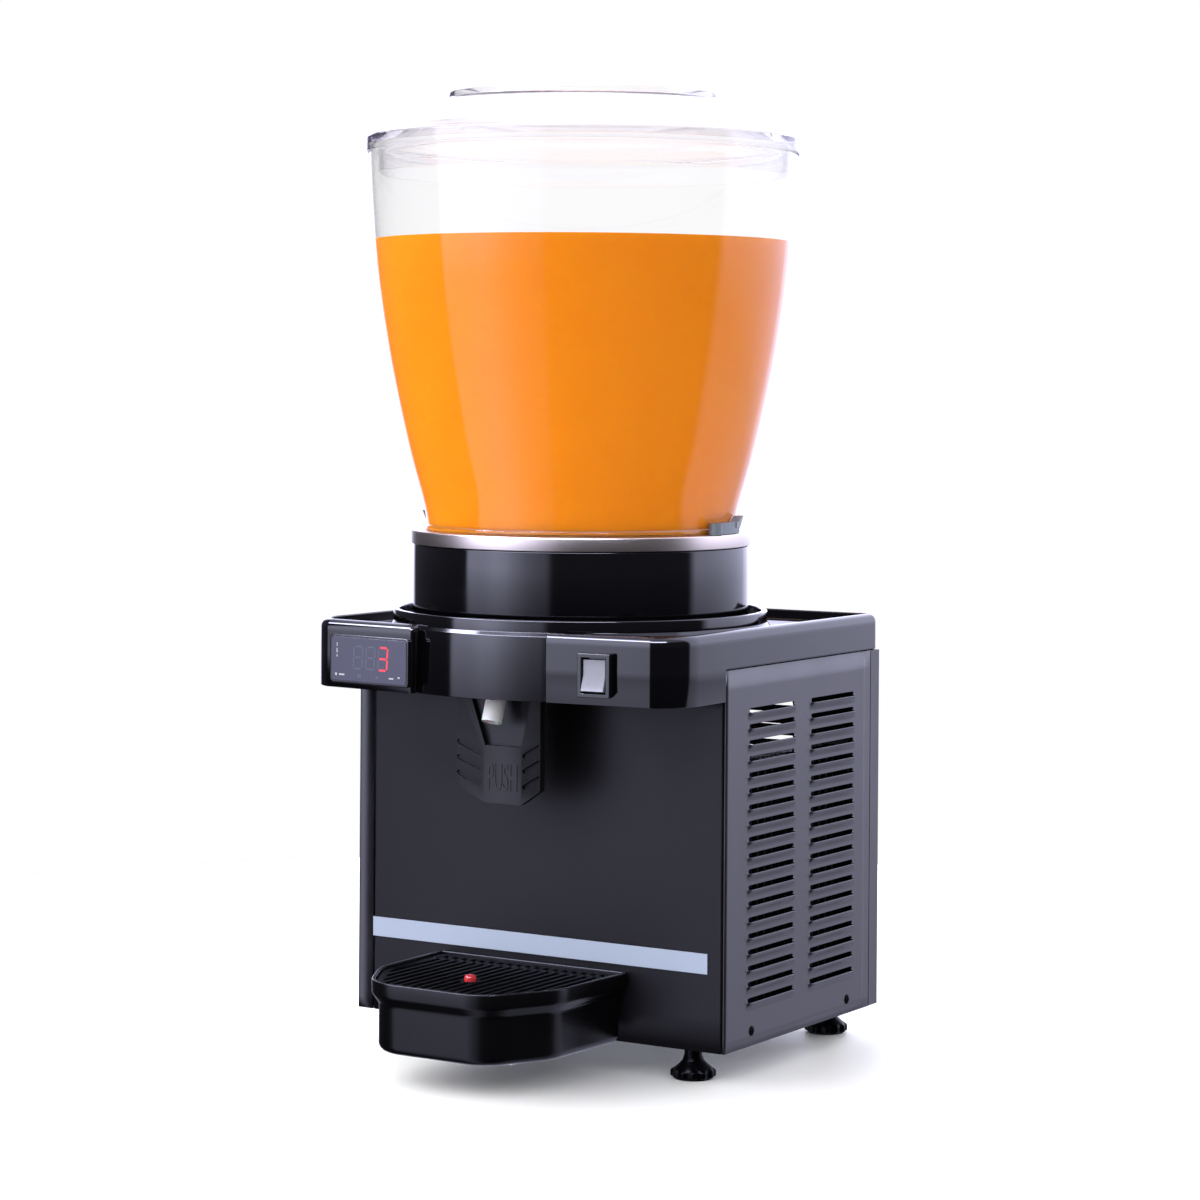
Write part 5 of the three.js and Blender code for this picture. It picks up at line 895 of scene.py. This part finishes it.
# %% Float
float_line = arcs([(0, 4.1), (13, 4.1), (13, 13.1), (3.25, 16.4), (3.25, 44), (4.4, 46), (4.4, 53),
                   (0, 53)], [0, 1.2, 1.5, 2, 1, 1, 2.4, 0])
skin("level_float", [turned(float_line, 40, y=FLOAT_Y, closed=False)], float_red)

# %% [markdown]
# ## Levelling feet
#
# Each foot is a moulded knob on a stud, with twelve finger lobes. Booleans could cut them, but a
# cosine of the angle taken off the radius, strongest at the rim, gives softer ones.

# %% Feet
def lobes(radius, height, angle):
    """At the knob's rim the radius loses 0.9 (1 - cos(12 angle))."""
    at_rim = np.clip((radius - 13.8) / 2.4, 0, 1) * (height < -14)
    return radius - 0.9 * at_rim * (1 - np.cos(12 * angle)), height


knob = arcs([(0, -23), (14.2, -23), (14.6, -21.8), (16.4, -21.6), (16.4, -17), (14, -15.4),
             (11, -13), (7.9, -10), (6.5, -6), (6.5, -0.4), (0, -0.4)],
            [0, 0.5, 0.4, 1, 1.2, 2, 2, 2, 3, 0.6, 0], 4)
stud = arcs([(0, -2), (3.9, -2), (3.9, 12), (0, 12)], [0, 0.3, 0.6, 0], 3)
for side_name, x in (("left", -125), ("right", 125)):
    for end_name, y in (("front", 17), ("rear", 217.5)):
        skin(f"foot_{end_name}_{side_name}", [
            turned(knob, 96, x, y, False, lobes), turned(stud, 24, x, y, False)], foot_black)

# %% [markdown]
# ## Tap
#
# A spring-loaded lever pinches the soft white tube shut. Lever, bracket and spring are softened
# copies. The tube is a circle carried along the CAD's curve; a curve object with a bevel would do
# that too, but not the smooth lip at its mouth.

# %% Lever, bracket and tube
softened("push_lever", lever_black, 0.7, segments=3)
softened("tap_bracket", zinc, 0.3)
softened("lever_spring", bright_steel, 0.0)


def along_path(path_yz, radius):
    """Path + radius (cos, sin) in the plane across its direction; the path has no x."""
    slope = np.gradient(path_yz, axis=0)
    slope /= np.linalg.norm(slope, axis=1, keepdims=True)
    angle = around(28)
    y, z = path_yz.T[:, :, None]
    reach = np.asarray(radius, float).reshape(-1, 1)
    return place(reach * np.cos(angle), y - reach * np.sin(angle) * slope[:, 1:2],
                 z + reach * np.sin(angle) * slope[:, :1])


tube_path = curve([(-33, 304.1), (-33, 295.95), (-42, 278.07), (-53.25, 245.5), (-58.6, 230)], 10)
tube_outside = along_path(tube_path, np.append(np.full(len(tube_path) - 1, 7.5), 7.3))
tube_bore = along_path(tube_path, np.full(len(tube_path), 4.9))
mouth = [tube_outside[-1] + (tube_bore[-1] - tube_outside[-1]) * share for share in (0.35, 0.75)]
tube_rows = np.concatenate([tube_outside, mouth, tube_bore[::-1]])
skin("drink_tube", [surface(tube_rows, round_rows=True, round_columns=True)], tube_white)

# %% [markdown]
# ## Word on the lever
#
# The word is generic, raised a little, and as black as the lever, so only its edges catch the
# light. It is text made into a mesh first, because a mesh's points can be placed all at once.

# %% Raised word
def moved(mesh, change):
    """Gives a mesh's points the places that change works out from their array."""
    points = np.empty(len(mesh.vertices) * 3)
    mesh.vertices.foreach_get("co", points)
    mesh.vertices.foreach_set("co", change(points.reshape(-1, 3)).ravel())


letters = bpy.data.curves.new("lever_word", "FONT")
letters.body, letters.size, letters.extrude, letters.resolution_u = "PUSH", 10.5, 0.45, 4
letters.align_x, letters.align_y = "CENTER", "CENTER"
holder = bpy.data.objects.new("letters", letters)
scene.collection.objects.link(holder)
graph = bpy.context.evaluated_depsgraph_get()
word = bpy.data.meshes.new_from_object(holder.evaluated_get(graph))
bpy.data.objects.remove(holder)
moved(word, lambda flat: place(flat[:, 0] * 1.05, -44.0 - flat[:, 2], 188 + flat[:, 1] * 2.7))
finished("lever_word", word, "lever", lever_black, slot="black_plastic", sharp=30)

# %% [markdown]
# ## Latches and switch
#
# These small mouldings have crisp but not sharp edges, so softened copies of the CAD serve, with
# one segment more in each bevel for a round highlight.

# %% Small mouldings
rocker_pale = finish("rocker_pale", (0.17, 0.17, 0.21), (0.2, 0.2, 0.24), 0.2, 0.04, 2.0, 0.004)
for node, look, width in (("latch_right", latch_grey, 0.45), ("latch_left", latch_grey, 0.45),
                          ("switch_housing", bezel_black, 0.8), ("rocker", rocker_pale, 0.6)):
    softened(node, look, width, segments=3)

# %% [markdown]
# ## Thermostat
#
# A frame with rounded corners holds a dark glossy window that nearly fills it. The photograph shows
# it wider than the solid and further to the right, so both are plates built on the facet from rings
# of a rounded rectangle. A box behind stands for its case.

# %% Thermostat plates
CONTROLLER_HEIGHT, CASE_DEPTH = 268.9, 54
WINDOW_LOW, WINDOW_HIGH = 4.2, 4.6  # how far the window's foot and face stand out


def on_facet(along, out, up):
    """The left facet's middle + along (cos, -sin) - out (sin, cos) of its turn, and up."""
    x = -FACET_X + along * np.cos(facet_slope) - out * np.sin(facet_slope)
    y = FACET_Y - along * np.sin(facet_slope) - out * np.cos(facet_slope)
    return place(x, y, CONTROLLER_HEIGHT + up)


def facet_bars(boxes, out_low, out_high):
    """Flat boxes of (centre, centre height, half width, half height, lean) on the facet."""
    corner = np.array([[-1, -1], [1, -1], [1, 1], [-1, 1]])
    centre, centre_up, half_width, half_height, lean = np.asarray(boxes, float).T[:, :, None]
    up = centre_up + half_height * corner[:, 1]
    along = centre + half_width * corner[:, 0] + lean * up
    return box_skins(np.stack([on_facet(along, out, up) for out in (out_low, out_high)], axis=1))


def facet_plate(west, east, low, high, corner, out_low, out_high, edge):
    """Plate on the facet: rings of a rounded rectangle, drawn in along a quarter arc of radius
    edge, closed at both ends by their middle point."""
    turn = np.radians(np.linspace(0, 90, 4))
    insets = [0, *(edge - edge * np.cos(turn)), edge + 0.3]
    outs = [out_low, *(out_high - edge + edge * np.sin(turn)), out_high]
    lines = [arcs([(west + i, low + i), (east - i, low + i), (east - i, high - i),
                   (west + i, high - i)], corner - i, 6) for i in insets]
    heart = 0 * lines[0] + [(west + east) / 2, (low + high) / 2]
    rings = [on_facet(line[:, 0], out, line[:, 1]) for line, out in
             zip([heart, *lines, heart], [out_low, *outs, out_high])]
    return surface(np.stack(rings), round_columns=True)


window_glass = finish("dark_window", (0.034, 0.034, 0.068), (0.038, 0.039, 0.074), 0.12, 0.02,
                      8.0, 0.0)
bezel = facet_plate(-34.2, 42.5, -16.0, 19.6, 3.4, 0.1, WINDOW_LOW, 0.8)
case = facet_bars([(0, 0, 33.5, 14, 0)], -CASE_DEPTH, 0.05)
skin("controller", [bezel, *case], bezel_black)
skin("controller_window", [facet_plate(-32.4, 40.7, -14.2, 17.8, 2.6, WINDOW_LOW, WINDOW_HIGH,
                                       0.2)], window_glass)

# %% [markdown]
# ## Numerals and marks
#
# Three numerals of seven bars stand behind the window; only the last is lit. The small signs round
# them can't be read in the photograph, so they are bars and dots. All are thin plates just proud of
# the glass: a picture would blur from near by.

# %% Numerals and marks
numeral_off = finish("numeral_off", (0.06, 0.07, 0.11), (0.07, 0.08, 0.12), 0.3, 0.02, 2.0, 0.0)
numeral_on = finish("numeral_lit", (0.5, 0.01, 0.02), (0.6, 0.02, 0.03), 0.3, 0.02, 2.0, 0.0,
                    **{"Emission Color": (1.0, 0.06, 0.1, 1), "Emission Strength": 0.6})
mark_pale = finish("mark_pale", (0.4, 0.42, 0.48), (0.45, 0.46, 0.5), 0.4, 0.03, 2.0, 0.0)
MARK_OUT = WINDOW_HIGH + 0.08
seven = np.array([(0, 8.2, 3.2, 0.7), (0, 0, 3.2, 0.7), (0, -8.2, 3.2, 0.7), (-4.2, 4.1, 0.7, 3.5),
                  (4.2, 4.1, 0.7, 3.5), (-4.2, -4.1, 0.7, 3.5), (4.2, -4.1, 0.7, 3.5)])


def numeral(x, which):
    """Bars of one numeral with its middle at x: top, middle, foot, then the upright ones."""
    return [(x + u, w + 3.6, a, b, 0.06) for u, w, a, b in seven[which]]


dividers = [(x, -9.8, 0.2, 3.0, 0) for x in (-13.6, 4.2, 21.8)]
unlit = [*numeral(-5.8, range(7)), *numeral(6.2, range(7)), *numeral(18.2, [3, 5]), *dividers,
         (-4.6, -9.8, 2.0, 1.3, 0), (12.8, -9.8, 1.3, 1.0, 0)]
lit = numeral(18.2, [0, 1, 2, 4, 6])
marks = [(-27.2, -9.6, 0.9, 0.9, 0), (-21.8, -9.6, 2.6, 0.6, 0), (29.5, -10.0, 2.2, 0.5, 0.3),
         (33.8, -9.0, 0.9, 0.6, 0), (-26.4, 12.2, 0.4, 1.2, 0), (-26.4, 7.8, 0.4, 1.7, 0),
         (-26.4, 3.9, 0.4, 0.8, 0)]
for name, plates, look, proud in (("numerals_off", unlit, numeral_off, 0),
                                  ("numeral_lit", lit, numeral_on, 0.05),
                                  ("window_marks", marks, mark_pale, 0)):
    finished(name, weld(name, facet_bars(plates, MARK_OUT - 0.2, MARK_OUT + proud)), "cabinet",
             look, slot="display")

# %% [markdown]
# ## Screws
#
# Self-tapping screws with a domed head and a cross recess hold the panels. The head is a disc of
# points raised to a dome; where a point lies in the cross its height drops, which needs no boolean.

# %% Panel screws
def dome_screw(node, side, y):
    """Height 0.9 sqrt(1 - 0.9 share^2) over a disc of radius 3.6, less 0.8 along a cross."""
    share, angle = np.linspace(0, 1, 12)[:, None], around(64)
    u, w = 3.6 * share * np.cos(angle), 3.6 * share * np.sin(angle)
    cross = (np.minimum(abs(u), abs(w)) < 0.45) & (share < 0.62)
    out = 0.9 * np.sqrt(1 - 0.9 * share**2) - 0.8 * cross
    head = place(side * (HALF_WIDTH + out - 0.05), y + u, 10.6 + w)
    tip = place(side * (HALF_WIDTH - 9), y + 1.7 * np.cos(angle), 10.6 + 1.7 * np.sin(angle))
    skin(node, [surface(np.concatenate([head, tip[None]]), round_columns=True)], screw_black,
         sharp=40)


for end_name, y in (("front", 39.4), ("rear", 184.9)):
    dome_screw(f"screw_left_{end_name}", -1, y)
    dome_screw(f"screw_right_{end_name}", 1, y)

# %% [markdown]
# ## Sheets and parts in view from behind
#
# Back, floor pan and fan only want soft edges. So does the hood's underplate, but the scene's hood
# has rounder front corners than the solid: points of the copy beyond a corner's arc are drawn in to
# it.

# %% Softened sheets and underplate
for node, look, width in (
        ("rear_panel", powder_coat, 0.35), ("base_pan", zinc, 0.3), ("tray_bracket", zinc, 0.4),
        ("fan_shroud", zinc, 0.3), ("fan_blades", satin_black, 0.3),
        ("cord_gland", satin_black, 0.4), ("impeller", paddle_white, 0.5),
        ("lever_pin", bright_steel, 0.2), ("trim_strip", strip_film, 0.15)):
    softened(node, look, width)


def drawn_in(points):
    """Points beyond an arc moved to centre + (point - centre) / distance x radius."""
    centre = np.array([HALF_WIDTH - CORNER, -37.65 - FRONT_SHIFT]) / 1000
    mirror = np.stack([np.sign(points[:, 0]), np.ones(len(points))], axis=1)
    offset = points[:, :2] * mirror - centre
    far = np.linalg.norm(offset, axis=1) * 1000 / (CORNER - 3.3)
    beyond = (offset[:, 0] > 0) & (offset[:, 1] < 0) & (far > 1)
    points[beyond, :2] = ((centre + offset / np.maximum(far, 1)[:, None]) * mirror)[beyond]
    print("underplate points drawn in:", int(beyond.sum()))
    return points


moved(softened("hood_underplate", satin_black, 0.3).data, drawn_in)

# %% [markdown]
# ## Parts inside
#
# Refrigeration and drive only glint through the louvres, so their CAD shapes stay and each gets a
# finish: copper pipes, zinc-plated motors, black enamel, foam round the basin and a rubber seal.
# The condenser's near black is partly its enamel and partly painted shade of the cabinet's dark
# inside.

# %% Finishes of the carried-over CAD pieces
carried = {"compressor": shell_enamel, "condenser": condenser_black_and_shade, "insulation": foam,
           "bowl_gasket": seal_rubber,
           **dict.fromkeys(("fan_motor", "fan_bracket", "drive_magnet", "mixer_motor"), zinc),
           **dict.fromkeys(("discharge_pipe", "suction_pipe", "evaporator_coil"), copper)}
for node, look in carried.items():
    mesh = frame["nodes"][node].data
    mesh.materials.clear()
    mesh.materials.append(look)
left_over = [name for name, made in frame["nodes"].items()
             if not made.hide_render and name not in carried]
print("CAD nodes without a finish of their own:", left_over)

# %% [markdown]
# ## Floor
#
# The photograph's floor is a white sweep with soft shadows. A disc of one metre's radius takes
# them, but sends no light back, because the world already holds the sweep's light.

# %% Floor
ring = np.stack([np.cos(around(96)), np.sin(around(96)), 0 * around(96)], axis=1)
floor_grid = ring * np.array([0.0, 0.25, 0.5, 0.75, 1.0])[:, None, None]
floor = bpy.data.objects.new("floor", weld("floor", [surface(floor_grid, round_columns=True)]))
scene.collection.objects.link(floor)
floor.data.materials.append(finish("floor_white", (0.86, 0.86, 0.86), (0.88, 0.88, 0.88),
                                   0.5, 0.05, 4.0, 0.0))
floor.visible_glossy = floor.visible_diffuse = False
